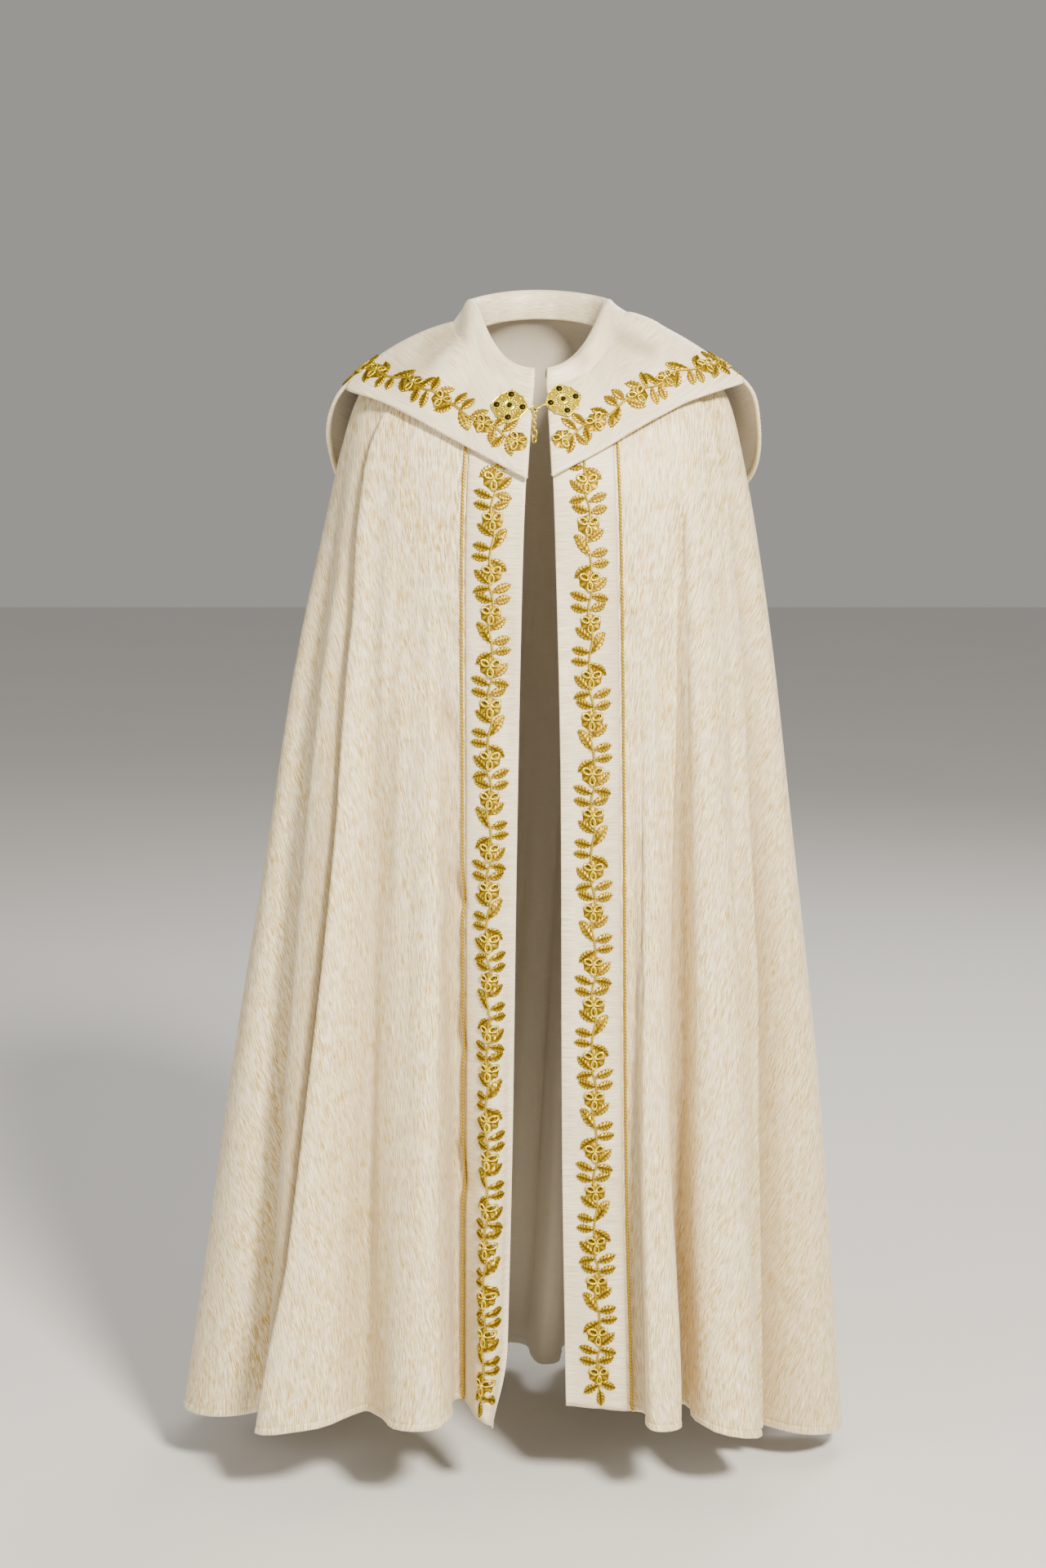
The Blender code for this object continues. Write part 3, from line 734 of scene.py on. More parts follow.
def tube(points, outward, radius, sides, lobes, twist, depth):
    """Points, faces, relief and cut of a closed tube along a line, with lobes that wind round it."""
    line, way = resampled(points, radius * TUBE_STEP)
    old = np.linspace(0.0, 1.0, len(points))
    new = np.linspace(0.0, 1.0, len(line))
    out = np.stack([np.interp(new, old, outward[:, k]) for k in range(3)], axis=1)
    along = np.gradient(line, axis=0)
    along /= np.linalg.norm(along, axis=1)[:, None]
    side = np.cross(along, out)
    side /= np.linalg.norm(side, axis=1)[:, None]
    up = np.cross(side, along)
    angle = np.linspace(0.0, 2 * math.pi, sides, endpoint=False)[None, :]
    wound = 2 * math.pi * way[:, None] / twist
    bulge = np.cos(lobes * (angle - wound)) * 0.5 + 0.5
    reach = radius * (1 - depth + depth * bulge)
    sideways = (np.cos(angle) * reach)[:, :, None] * side[:, None]
    upwards = (np.sin(angle) * reach)[:, :, None] * up[:, None]
    points = (line[:, None] + (sideways + upwards)).reshape(-1, 3)
    faces = []
    for r in range(len(line) - 1):
        for s in range(sides):
            t = (s + 1) % sides
            faces.append((r * sides + s, r * sides + t, (r + 1) * sides + t, (r + 1) * sides + s))
    faces.append(tuple(range(sides))[::-1])
    faces.append(tuple((len(line) - 1) * sides + s for s in range(sides)))
    along_cut = np.repeat(way[:, None], sides, axis=1)
    round_cut = np.repeat(angle * radius, len(line), axis=0)
    cut = np.stack([along_cut, round_cut], axis=2)
    return points, faces, bulge.ravel(), cut.reshape(-1, 2)


def cord_piece(name, column):
    """A cord laid along one column of the body."""
    columns = np.array([column - 0.01, column, column + 0.01])
    grid, outward = drape(columns, np.linspace(BAND_TOP, 1.0, CORD_ROWS))
    middle = grid[:, 1] + CORD_LIFT * outward[:, 1]
    radius = CORD_RADIUS * CORD_SWELL
    laid = tube(middle, outward[:, 1], radius, CORD_SIDES, CORD_STRANDS, CORD_TWIST, CORD_GROOVE)
    points, faces, relief, cut = laid
    thing = meshed(name, points, faces, [CORD], cut, {"relief": relief})
    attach(thing, "cope")
    return thing


cord_left = cord_piece("cord_left", CORD_STEP)
cord_right = cord_piece("cord_right", LAST - CORD_STEP)
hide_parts("piping_left")
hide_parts("piping_right")

# The cape collar
COLLAR_POINT = (0.018, -0.181)
COLLAR_SLOPE = 0.52
SHOULDER_Y, SHOULDER_Z = -0.025, -0.072
BACK_Y, BACK_Z = 0.128, -0.235
ROLL = (
    (-0.0024, -0.003),
    (-0.0036, 0.012),
    (-0.0020, 0.026),
    (0.0045, 0.032),
    (0.0120, 0.026),
)
COLLAR_LIFT = 0.0064
COLLAR_TOP = 0.022
COLLAR_CREASES = (
    Crease(-0.084, 0.004, -0.150, -0.044, 0.0130, 0.0085),
    Crease(-0.068, -0.012, -0.112, -0.078, 0.0140, -0.0045),
    Crease(-0.118, -0.030, -0.196, -0.078, 0.0160, 0.0055),
    Crease(0.092, 0.016, 0.160, -0.014, 0.0100, -0.0050),
    Crease(0.082, -0.004, 0.150, -0.042, 0.0120, 0.0075),
    Crease(0.034, -0.026, 0.066, -0.056, 0.0090, 0.0055),
    Crease(0.060, -0.060, 0.130, -0.076, 0.0140, -0.0035),
)
SPRING = (0.007, 0.016)
FLARE = (0.015, 0.023)
EDGE_LIFT = 0.005
COLLAR_WAVES = ((0.0011, 9, 0.7), (0.0007, 17, 2.0))
DEEPEST_CREASE = 0.0085
COLLAR_COLUMNS = 281
FALL_ROWS = 22
ROLL_ROWS = 29
SEARCH_LEVELS = np.linspace(0.02, 0.30, 141)
TURN = 0.0014
TURN_ANGLES = np.radians((30, 60, 90, 120, 150, 180))
END_TURNS = 5
TURNED_IN = 0.005


def sided(amounts, side):
    """The first amount at side -1, the second at side 1 and a mixture between them."""
    left, right = amounts
    return (left + right) / 2 + np.clip(side, -1.0, 1.0) * (right - left) / 2


def collar_bottom(x, y):
    """The height of the collar's lower edge: straight up to each shoulder, then dropping round the back."""
    front = COLLAR_POINT[1] + COLLAR_SLOPE * (np.abs(x) - COLLAR_POINT[0])
    back = np.clip((y - SHOULDER_Y) / (BACK_Y - SHOULDER_Y), 0.0, 1.0)
    behind = SHOULDER_Z + (BACK_Z - SHOULDER_Z) * (1 - (1 - back) ** 1.5)
    return np.where(y < SHOULDER_Y, np.minimum(front, SHOULDER_Z), behind)


def curved(grid, at):
    """A smooth curve through the rows of a grid, read at places between them."""
    last = len(grid) - 1
    i = np.clip(np.floor(at).astype(int), 0, last - 1)
    t = (at - i)[:, None, None]
    a, b, c, d = (grid[np.clip(i + k, 0, last)] for k in (-1, 0, 1, 2))
    bend = 2 * a - 5 * b + 4 * c - d
    turn = 3 * b - a - 3 * c + d
    return 0.5 * (2 * b + (c - a) * t + bend * t * t + turn * t ** 3)


def under_collar(columns, shares):
    """The body's surface under the collar, and how far down the body each of its points lies."""
    under = np.array([row_of(columns, down) for down in SEARCH_LEVELS])
    spacing = SEARCH_LEVELS[1] - SEARCH_LEVELS[0]
    above = under[:, :, 2] - collar_bottom(under[:, :, 0], under[:, :, 1])
    last_above = np.argmax(above < 0, axis=0) - 1
    picked = np.arange(len(columns))
    upper, lower = above[last_above, picked], above[last_above + 1, picked]
    edges = SEARCH_LEVELS[last_above] + spacing * upper / (upper - lower)
    wanted = COLLAR_TOP + (edges[None, :] - COLLAR_TOP) * shares[:, None]
    step = (wanted - SEARCH_LEVELS[0]) / spacing
    low = np.clip(np.floor(step).astype(int), 0, len(SEARCH_LEVELS) - 2)
    part = (step - low)[:, :, None]
    picked = picked[None, :]
    return under[low, picked] * (1 - part) + under[low + 1, picked] * part, wanted


def outward_round(line):
    """Level directions from the middle of the neck out to each point of a line."""
    way = line * (1.0, 1.0, 0.0)
    return way / np.linalg.norm(way, axis=1)[:, None]


def creases_in(points, facing):
    """How deep the collar's drag folds press each point in, and how much painted shade they put on it."""
    front = 1 - eased(facing, -0.45, 0.15)
    marks = [crease_mark(c, points[:, :, 0], points[:, :, 2]) for c in COLLAR_CREASES]
    pressed = sum(c.deep * mark for c, mark in zip(COLLAR_CREASES, marks))
    shade = sum(max(c.deep, 0.0) / DEEPEST_CREASE * mark for c, mark in zip(COLLAR_CREASES, marks))
    return pressed * front, np.clip(shade, 0.0, 1.0) * front


def collar_fall(columns, neck):
    """The collar where it lies over the shoulders, down to its lower edge, and its outward normals."""
    shares = np.linspace(0.0, 1.0, FALL_ROWS)
    fall, wanted = under_collar(columns, shares)
    round_it = columns / LAST
    soft = sum(high * np.sin(2 * math.pi * waves * round_it + start) for high, waves, start in COLLAR_WAVES)
    low_down = shares[:, None]
    lift = COLLAR_LIFT + EDGE_LIFT * low_down ** 3 + soft[None, :] * np.sin(math.pi * low_down * 0.8)
    fall = fall + lift[:, :, None] * normals_of(fall)
    spring = sided(SPRING, fall[0, :, 0] / 0.09) * eased(neck[:, 1], -0.060, -0.010)
    fall[:, :, 2] += spring * (1 - eased(wanted, 0.03, 0.13))
    rim = fall[-1]
    at_side = eased(np.abs(rim[:, 0]), 0.12, 0.20) * eased(rim[:, 1], -0.10, -0.03)
    flare = sided(FLARE, rim[:, 0] / 0.15) * at_side
    fall = fall + (flare * shares[:, None] ** 2)[:, :, None] * outward_round(rim)
    outward = normals_of(fall)
    pressed, _ = creases_in(fall, outward[:, :, 1])
    return fall - pressed[:, :, None] * outward, outward


def rolled_over(neck, fall):
    """The collar's whole face: it stands up inside the neck, rolls over and falls."""
    upright = 0.30 + 0.70 * eased(neck[:, 1], -0.080, -0.020)
    way_out = outward_round(neck)
    stand = [neck + out * way_out + np.outer(upright * up, (0.0, 0.0, 1.0)) for out, up in ROLL]
    rows = np.concatenate([np.array(stand), fall])
    at = np.concatenate([np.linspace(0, 7, ROLL_ROWS), np.arange(8, len(rows))])
    return curved(rows, at)


def turned_under(edge, before, outward):
    """Rows that carry an edge round and back under itself."""
    away = edge - before
    away /= np.linalg.norm(away, axis=-1)[..., None]
    rows = [edge + TURN * (math.sin(a) * away - (1 - math.cos(a)) * outward) for a in TURN_ANGLES]
    return rows + [rows[-1] - TURNED_IN * away]


def edged(grid, outward):
    """The collar's face with its lower edge and both ends turned under."""
    grid = np.concatenate([grid, np.array(turned_under(grid[-1], grid[-2], outward))])
    away = normals_of(grid)
    before = turned_under(grid[:, 0], grid[:, 1], away[:, 0])[:END_TURNS]
    after = turned_under(grid[:, -1], grid[:, -2], away[:, -1])[:END_TURNS]
    return np.concatenate([np.stack(before[::-1], axis=1), grid, np.stack(after, axis=1)], axis=1)


def collar_cut(grid):
    """Places on the flat satin: the way round along the middle row, and the way down each column."""
    round_it = lengths_across(grid)[len(grid) // 2][None, :].repeat(len(grid), axis=0)
    down = np.cumsum(np.linalg.norm(np.diff(grid, axis=0), axis=2), axis=0)
    return np.stack([round_it, np.concatenate([np.zeros((1, grid.shape[1])), down])], axis=2)


collar_columns = np.linspace(0.0, LAST, COLLAR_COLUMNS)
neck_line = row_of(collar_columns, 0.0)
fall, fall_out = collar_fall(collar_columns, neck_line)
collar_grid = edged(rolled_over(neck_line, fall), fall_out[-1])
# Painted shade on the collar: darker along its drag folds, where their shadows fall
_, collar_painted_shade = creases_in(collar_grid, normals_of(collar_grid)[:, :, 1])
collar = cloth_piece(
    "collar_satin",
    collar_grid,
    COLLAR_CLOTH,
    [SATIN, SATIN_UNDER],
    collar_cut(collar_grid),
    {"hollow": collar_painted_shade.ravel()},
)
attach(collar, "cope")
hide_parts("collar")


def taken(thing):
    """A made shape's points and faces, after which the object goes."""
    mesh = thing.data
    points = np.empty(len(mesh.vertices) * 3)
    mesh.vertices.foreach_get("co", points)
    faces = [tuple(face.vertices) for face in mesh.polygons]
    bpy.data.objects.remove(thing)
    return points.reshape(-1, 3), faces


def formed(thing, size=(1, 1, 1), turn=(0, 0, 0), at=(0, 0, 0)):
    """The new primitive stretched, turned and moved in its mesh."""
    matrix = Matrix.Translation(at)
    for axis, angle in zip("XYZ", turn):
        matrix = matrix @ Matrix.Rotation(angle, 4, axis)
    thing.data.transform(matrix @ Matrix.Diagonal((*size, 1)))
    return thing


def torus(major, minor, around, sides, **placed):
    bpy.ops.mesh.primitive_torus_add(
        major_radius=major, minor_radius=minor, major_segments=around, minor_segments=sides
    )
    return formed(bpy.context.object, **placed)


def ball(radius, segments, rings, **placed):
    bpy.ops.mesh.primitive_uv_sphere_add(segments=segments, ring_count=rings, radius=radius)
    return formed(bpy.context.object, **placed)


def cone(low, high, tall, sides, **placed):
    bpy.ops.mesh.primitive_cone_add(vertices=sides, radius1=low, radius2=high, depth=tall)
    return formed(bpy.context.object, **placed)


# The embroidery
Shape = namedtuple("Shape", "points faces relief cut")


def shape_of(points, faces, relief):
    return Shape(np.asarray(points), list(faces), np.asarray(relief, float), np.asarray(points)[:, :2])


def together(*shapes):
    start, points, faces = 0, [], []
    for shape in shapes:
        points.append(shape.points)
        faces += [tuple(v + start for v in face) for face in shape.faces]
        start += len(shape.points)
    relief = np.concatenate([shape.relief for shape in shapes])
    cut = np.concatenate([shape.cut for shape in shapes])
    return Shape(np.concatenate(points), faces, relief, cut)


def grid_shape(columns, rows, form):
    """A primitive grid shaped point by point: form gives x, y, height and relief for places from 0 to 1."""
    bpy.ops.mesh.primitive_grid_add(x_subdivisions=columns, y_subdivisions=rows, size=1.0)
    points, faces = taken(bpy.context.object)
    made = np.array([form(u + 0.5, v + 0.5) for u, v, _ in points])
    return shape_of(made[:, :3], faces, made[:, 3])


LEAF_RIBS = 12
LEAF_GROW = 1.22
LEAF_BROAD = 1.20
LEAF_OFF_STEM = 0.001
LEAF_BEND = 0.07
BLOSSOM_GROW = 1.16


def leaf_form(u, v):
    """A serrated leaf, 1 long and 1 wide at most, with a groove down its middle and a rib to each tooth."""
    across = 2 * v - 1
    rib = round(u * LEAF_RIBS)
    tooth = 1.0 if rib % 2 else 0.0
    half = 0.5 * max(math.sin(math.pi * min(u ** 0.78, 1.0)), 0.0) ** 0.92 * (0.86 + 0.24 * tooth)
    x = u + (0.13 + 0.03 * tooth) * abs(across) * math.sin(math.pi * u)
    lane = round(abs(across) * 2)
    high = (0.0009, 0.0026, -0.0004)[lane] + (0.0, 0.0006, 0.0002)[lane] * (2 * tooth - 1)
    # The relief sets the thread's painted light: a painted highlight on the ribs that run to the teeth,
    # painted shade in the middle groove and at the edges between the teeth
    relief = (0.05, 0.32, 0.00)[lane] + (0.15, 0.68, 0.50)[lane] * tooth
    return x, across * half, high * min(1.0, 0.60 + 4 * u * (1 - u)), relief


def fan_form(u, v):
    """A broad petal behind a blossom: a fan with ribs, from the middle out."""
    angle = math.radians(-58 + 116 * u)
    ridge = 1.0 if round(u * 6) % 2 else 0.0
    reach = 0.0020 + v * (0.0088 + 0.0011 * ridge) * (0.80 + 0.20 * math.cos(angle * 1.5))
    high = (0.0010, 0.0015, -0.0004)[round(v * 2)] + 0.0005 * ridge * (0 < v < 0.9)
    # The relief sets the thread's painted light: a painted highlight on the fan's ribs, painted shade near
    # its middle and its rim
    relief = (0.05, 0.28, 0.10)[round(v * 2)] + 0.50 * ridge
    return math.sin(angle) * reach, math.cos(angle) * reach, high, relief


def turned(shape, degrees, grow=1.0):
    angle = math.radians(degrees)
    cosine, sine = math.cos(angle), math.sin(angle)
    spin = np.array([[cosine, -sine, 0], [sine, cosine, 0], [0, 0, 1]])
    return shape._replace(points=(shape.points @ spin.T) * grow)


def petal_loop(degrees, out, long, wide):
    """A looped petal: an oval ring of cord on edge over a sunk middle."""
    points, faces = taken(torus(0.0033, 0.00110, 14, 6, size=(long, wide, 1.2), at=(out, 0, 0.0025)))
    relief = np.clip((points[:, 2] - 0.0013) / 0.0022, 0, 1)
    return turned(shape_of(points, faces, 0.25 + 0.75 * relief), degrees)


LEAF = grid_shape(LEAF_RIBS, 4, leaf_form)
FAN = grid_shape(6, 2, fan_form)
boss_points, boss_faces = taken(ball(0.0017, 7, 5, at=(0, 0, 0.0024)))
pad_points, pad_faces = taken(cone(0.0082, 0.0050, 0.0014, 14, at=(0, 0, 0.0005)))
BLOSSOM = together(
    shape_of(pad_points, pad_faces, np.full(len(pad_points), 0.05)),
    turned(FAN, 0, 0.92),
    turned(FAN, 122, 1.10),
    turned(FAN, -122, 1.10),
    petal_loop(30, 0.0060, 1.32, 0.86),
    petal_loop(150, 0.0060, 1.32, 0.86),
    petal_loop(-90, 0.0064, 1.36, 0.80),
    shape_of(boss_points, boss_faces, np.full(len(boss_points), 0.85)),
)

Sprig = namedtuple("Sprig", "at side turn long wide")
LONG_SPRIG = (
    Sprig(0.32, -1, 32, 0.0195, 0.0100),
    Sprig(0.55, -1, 8, 0.0172, 0.0108),
    Sprig(0.73, -1, 2, 0.0172, 0.0100),
    Sprig(0.34, +1, 24, 0.0140, 0.0096),
    Sprig(0.58, +1, 52, 0.0245, 0.0104),
    Sprig(0.74, +1, -30, 0.0190, 0.0108),
)
SHORT_SPRIG = (
    Sprig(0.47, -1, 16, 0.0195, 0.0100),
    Sprig(0.72, -1, 10, 0.0170, 0.0106),
    Sprig(0.29, +1, 38, 0.0195, 0.0098),
    Sprig(0.38, +1, -8, 0.0165, 0.0100),
    Sprig(0.71, +1, 14, 0.0172, 0.0104),
)
STEM_SWAY = ((0.30, 0.0022), (0.55, -0.0012), (0.80, -0.0024))
STEM_RADIUS = 0.0016
STEM_SIDES = 7
STEM_STRANDS = 2
STEM_TWIST = 0.006
STEM_GROOVE = 0.22


class Vine:
    """Embroidery along a line on the cloth: each shape is set flat beside the line and brought down on it."""

    def __init__(self, line, outward, surface, columns):
        self.line, self.way = resampled(line, 0.002)
        old, new = np.linspace(0, 1, len(line)), np.linspace(0, 1, len(self.line))
        out = np.stack([np.interp(new, old, outward[:, k]) for k in range(3)], axis=1)
        self.along = np.gradient(self.line, axis=0)
        self.along /= np.linalg.norm(self.along, axis=1)[:, None]
        self.side = np.cross(out, self.along)
        self.side /= np.linalg.norm(self.side, axis=1)[:, None]
        grid = surface.reshape(-1, 3)
        self.tree = BVHTree.FromPolygons(grid.tolist(), quads_of(len(surface), columns, FACE_FLIP))
        self.shapes = []

    def at(self, distance, aside=0.0):
        """A place on the line, with the directions along it and to its side."""
        spot, along, side = (
            np.array([np.interp(distance, self.way, values[:, i]) for i in range(3)])
            for values in (self.line, self.along, self.side)
        )
        return spot + aside * side, along, side

    def lay(self, shape, distance, aside=0.0, grow=1.0):
        """Sets a shape down with its own y against the line's way and its x to the line's side."""
        spot, along, side = self.at(distance, aside)
        flat = spot + grow * (shape.points[:, :1] * side - shape.points[:, 1:2] * along)
        laid = []
        for place, high in zip(flat, shape.points[:, 2]):
            near, normal, _, _ = self.tree.find_nearest(Vector(place))
            laid.append(near + normal * float(high))
        self.shapes.append(shape._replace(points=np.array(laid)))

    def leaf(self, sprig, distance, aside, mirror, upward=1.0):
        angle = math.radians(sprig.turn)
        side = sprig.side * mirror
        x = LEAF.points[:, 0] * sprig.long * LEAF_GROW + LEAF_OFF_STEM
        bend = LEAF_BEND * (x / sprig.long) ** 2 * sprig.long * (1 if sprig.turn > 0 else -1)
        y = LEAF.points[:, 1] * sprig.wide * LEAF_BROAD + bend
        aslant = side * (x * math.cos(angle) - y * math.sin(angle))
        upright = upward * (x * math.sin(angle) + y * math.cos(angle))
        points = np.stack([aslant, upright, LEAF.points[:, 2]], axis=1)
        faces = LEAF.faces if side * upward > 0 else [face[::-1] for face in LEAF.faces]
        cut = np.stack([x, y], axis=1)
        self.lay(Shape(points, faces, LEAF.relief, cut), distance, aside)

    def stem(self, places):
        """A raised stem through places given as distance along and aside."""
        places = np.array(places)
        fine = curved(places[:, None, :], np.linspace(0, len(places) - 1, len(places) * 7))[:, 0]
        laid, outs = [], []
        for distance, aside in fine:
            near, normal, _, _ = self.tree.find_nearest(Vector(self.at(distance, aside)[0]))
            laid.append(near + normal * STEM_RADIUS * 0.75)
            outs.append(normal)
        stem = (STEM_RADIUS, STEM_SIDES, STEM_STRANDS, STEM_TWIST, STEM_GROOVE)
        points, faces, relief, cut = tube(np.array(laid), np.array(outs), *stem)
        self.shapes.append(Shape(points, faces, 0.55 + 0.35 * relief, cut))

    def piece(self, name):
        whole = together(*self.shapes)
        thing = meshed(name, whole.points, whole.faces, [THREAD], whole.cut, {"relief": whole.relief})
        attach(thing, "cope")
        return thing


def grow_vine(vine, start, end, gaps, hand, upright, long_first=False, with_last=True):
    """Blossoms from start to end with short and long gaps of leaves in turn. A long gap changes the side."""
    way = 1 if end > start else -1
    kinds = [long_first]
    while sum(gaps[kind] for kind in kinds) + gaps[not kinds[-1]] / 2 < abs(end - start):
        kinds.append(not kinds[-1])
    fit = abs(end - start) / sum(gaps[kind] for kind in kinds)
    blossom = turned(BLOSSOM, upright)
    distance, places = start, [(start, 0.0)]
    for kind in kinds:
        gap = way * fit * gaps[kind]
        vine.lay(blossom, distance, 0.0, BLOSSOM_GROW + 0.05 * math.sin(distance * 91))
        for sprig in (SHORT_SPRIG, LONG_SPRIG)[kind]:
            aside = hand * np.interp(sprig.at, *zip((0, 0), *STEM_SWAY, (1, 0)))
            vine.leaf(sprig, distance + sprig.at * gap, aside, hand, way)
        places += [(distance + share * gap, hand * sway) for share, sway in STEM_SWAY]
        places.append((distance + gap, 0.0))
        distance += gap
        hand = -hand if kind else hand
    if with_last:
        vine.lay(blossom, distance, 0.0, BLOSSOM_GROW)
    return places


def band_line(grid, outward, from_inner):
    """The line down a band at one share of its width, and the band's outer face."""
    across = lengths_across(grid)
    share = across / across[:, -1:]
    line = [[np.interp(from_inner, row, points[:, k]) for k in range(3)] for row, points in zip(share, grid)]
    middle = outward[:, grid.shape[1] // 2]
    return np.array(line), middle, grid + outward * (BAND_CLOTH / 2)


FIRST_BLOSSOM = -0.186
LAST_BLOSSOM = 0.044
BAND_GAPS = (0.0485, 0.0630)
LAST_SPRIG = (
    Sprig(0.011, +1, -14, 0.0165, 0.0100),
    Sprig(0.013, -1, -24, 0.0165, 0.0100),
    Sprig(0.019, +1, -80, 0.0170, 0.0100),
)
for name, grid, outward, share_across, hand in (
    ("vine_left", band_left_grid, band_left_out, 0.54, -1),
    ("vine_right", band_right_grid, band_right_out, 0.46, 1),
):
    line, middle, face = band_line(grid, outward, share_across)
    vine = Vine(line, middle, face, grid.shape[1])
    first = vine.way[np.argmin(np.abs(vine.line[:, 2] - FIRST_BLOSSOM))] - BAND_GAPS[1]
    last = vine.way[-1] - LAST_BLOSSOM
    places = grow_vine(vine, first, last, BAND_GAPS, hand, 0, long_first=True)
    for sprig in LAST_SPRIG:
        vine.leaf(sprig, last + sprig.at, 0.0, hand)
    vine.stem(places + [(last + 0.010, 0.0008), (last + 0.019, 0.0)])
    vine.piece(name)

VINE_IN = 0.034
ROW_BY_VINE = -8
COLLAR_GAPS = (0.0440, 0.0590)
FROM_FRONT = 0.0135
from_edge = np.linalg.norm(np.diff(fall[::-1], axis=0), axis=2)
from_edge = np.concatenate([np.zeros((1, fall.shape[1])), np.cumsum(from_edge, axis=0)])
inward = VINE_IN * (1.0 + 0.10 * (1 - eased(fall[-1, :, 1], -0.10, 0.02)))
collar_line = [
    [np.interp(inward[c], from_edge[:, c], fall[::-1, c, k]) for k in range(3)] for c in range(fall.shape[1])
]
collar_face = fall + fall_out * (COLLAR_CLOTH / 2)
collar_vine = Vine(np.array(collar_line), fall_out[ROW_BY_VINE], collar_face, fall.shape[1])
whole_way = collar_vine.way[-1]
halves = ((FROM_FRONT, True), (whole_way - FROM_FRONT, False))
for start, with_last in halves:
    collar_vine.stem(grow_vine(collar_vine, start, whole_way / 2, COLLAR_GAPS, 1, 90, with_last=with_last))
collar_vine.piece("vine_collar")

MEDALLION = 0.0225
PLATE = 0.0016
RING_RADIUS, RING_WIRE = 0.0040, 0.0009
LEFT_PLACE = (-0.03214, -0.11398, -0.10051)
LEFT_TURN, LEFT_LEAN, LEFT_ROLL = -3.148, 29.47, -6.0
RIGHT_PLACE = (0.0302, -0.11033, -0.09329)
RIGHT_TURN, RIGHT_LEAN, RIGHT_ROLL = 3.939, 30.80, 16.0
RING_HOME = Vector((0.0296, 0.0, PLATE / 2))
BOSS = 0.0153
STONE = 0.0035
STONES = ((0, 0), (BOSS, 0), (0, BOSS), (-BOSS, 0), (0, -BOSS))
HOOK = (
    (-0.0195, 0.0, 0.0012),
    (-0.0262, -0.0010, 0.0026),
    (-0.0309, -0.0034, 0.0033),
    (-0.0336, -0.0031, 0.0029),
    (-0.0350, -0.0009, 0.0018),
    (-0.0348, -0.0008, 0.0),
    (-0.0345, -0.0010, -0.0025),
)
HOOK_WIRE = 0.0010
TANG = ((0.0205, 0, PLATE / 2), (0.0258, 0, PLATE / 2))
TANG_WIRE = 0.0008
OUTLINE_POWER = 1.35
OUTLINE_STEPS = 128
LEAF_TIP = 0.0016
LEAF_TIP_DEGREES = 9
RIM_WIDE, BEVEL_WIDE, BEVEL_DEEP = 0.0011, 0.0003, -0.0005
RIM_GROW, RIM_WIRE = 0.965, 0.00075
HALO_COUNT, HALO_RADIUS = 18, 0.0086
BEAD_COUNT, BEAD_RADIUS = 36, 0.0114
CORNER_BEADS, CORNER_RADIUS = 8, 0.0052
SCROLL_RADIUS = 0.0133
SCROLL_ASIDE = 0.0030
SCROLL_STEPS = 18
SCROLL_WIRE = 0.00042
PALM_RADIUS = 0.0158
RECESS = PLATE - 0.0011
RELIEF_TALL = 0.0030
CHAIN_RELIEF = 0.34
METAL_ANGLE = math.radians(42)


def seat(place, turn, lean, roll):
    """Sets a flat piece upright, facing forward and leaning back, then turned and rolled, at its place."""
    upright = Matrix.Rotation(math.radians(turn), 4, "Z") @ Matrix.Rotation(math.radians(90 - lean), 4, "X")
    return Matrix.Translation(place) @ upright @ Matrix.Rotation(math.radians(roll), 4, "Z")


LEFT_SEAT = seat(LEFT_PLACE, LEFT_TURN, LEFT_LEAN, LEFT_ROLL)
RIGHT_SEAT = seat(RIGHT_PLACE, RIGHT_TURN, RIGHT_LEAN, RIGHT_ROLL)


def wire(points, radius, sides, closed=False):
    """A round wire through a few points, as a mesh."""
    curve = bpy.data.curves.new("wire", "CURVE")
    curve.dimensions, curve.bevel_depth, curve.bevel_resolution = "3D", radius, sides
    curve.use_fill_caps = not closed
    line = curve.splines.new("POLY")
    line.points.add(len(points) - 1)
    for point, place in zip(line.points, points):
        point.co = (*place, 1.0)
    line.use_cyclic_u = closed
    thing = bpy.data.objects.new("wire", curve)
    bpy.context.scene.collection.objects.link(thing)
    bpy.ops.object.select_all(action="DESELECT")
    thing.select_set(True)
    bpy.context.view_layer.objects.active = thing
    bpy.ops.object.convert(target="MESH")
    return bpy.context.object


def smooth_line(points, count):
    points = np.array(points, float)
    return curved(points[:, None, :], np.linspace(0, len(points) - 1, count))[:, 0]


def lozenge(angle, grow=1.0):
    """The medallion's outline: convex sides between four corners, with a small leaf tip in each side."""
    power = OUTLINE_POWER
    reach = MEDALLION / (abs(math.cos(angle)) ** power + abs(math.sin(angle)) ** power) ** (1 / power)
    off = abs(((angle / (math.pi / 2)) % 1.0) - 0.5) * 90
    return grow * (reach + LEAF_TIP * max(0.0, 1 - off / LEAF_TIP_DEGREES))


def polar(radius, angle, z=0.0):
    return radius * math.cos(angle), radius * math.sin(angle), z


def scroll(middle, hand):
    """One small curling wire beside the middle of a side."""
    curl = []
    for t in np.linspace(0, 1, SCROLL_STEPS):
        swing = hand * (0.3 + 4.6 * t)
        size = 0.0021 * (1 - 0.72 * t)
        out = SCROLL_RADIUS + size * math.cos(swing)
        aside = hand * SCROLL_ASIDE + size * math.sin(swing)
        curl.append(polar(out, middle + aside / out, PLATE + 0.0004))
    return wire(curl, SCROLL_WIRE, 1)


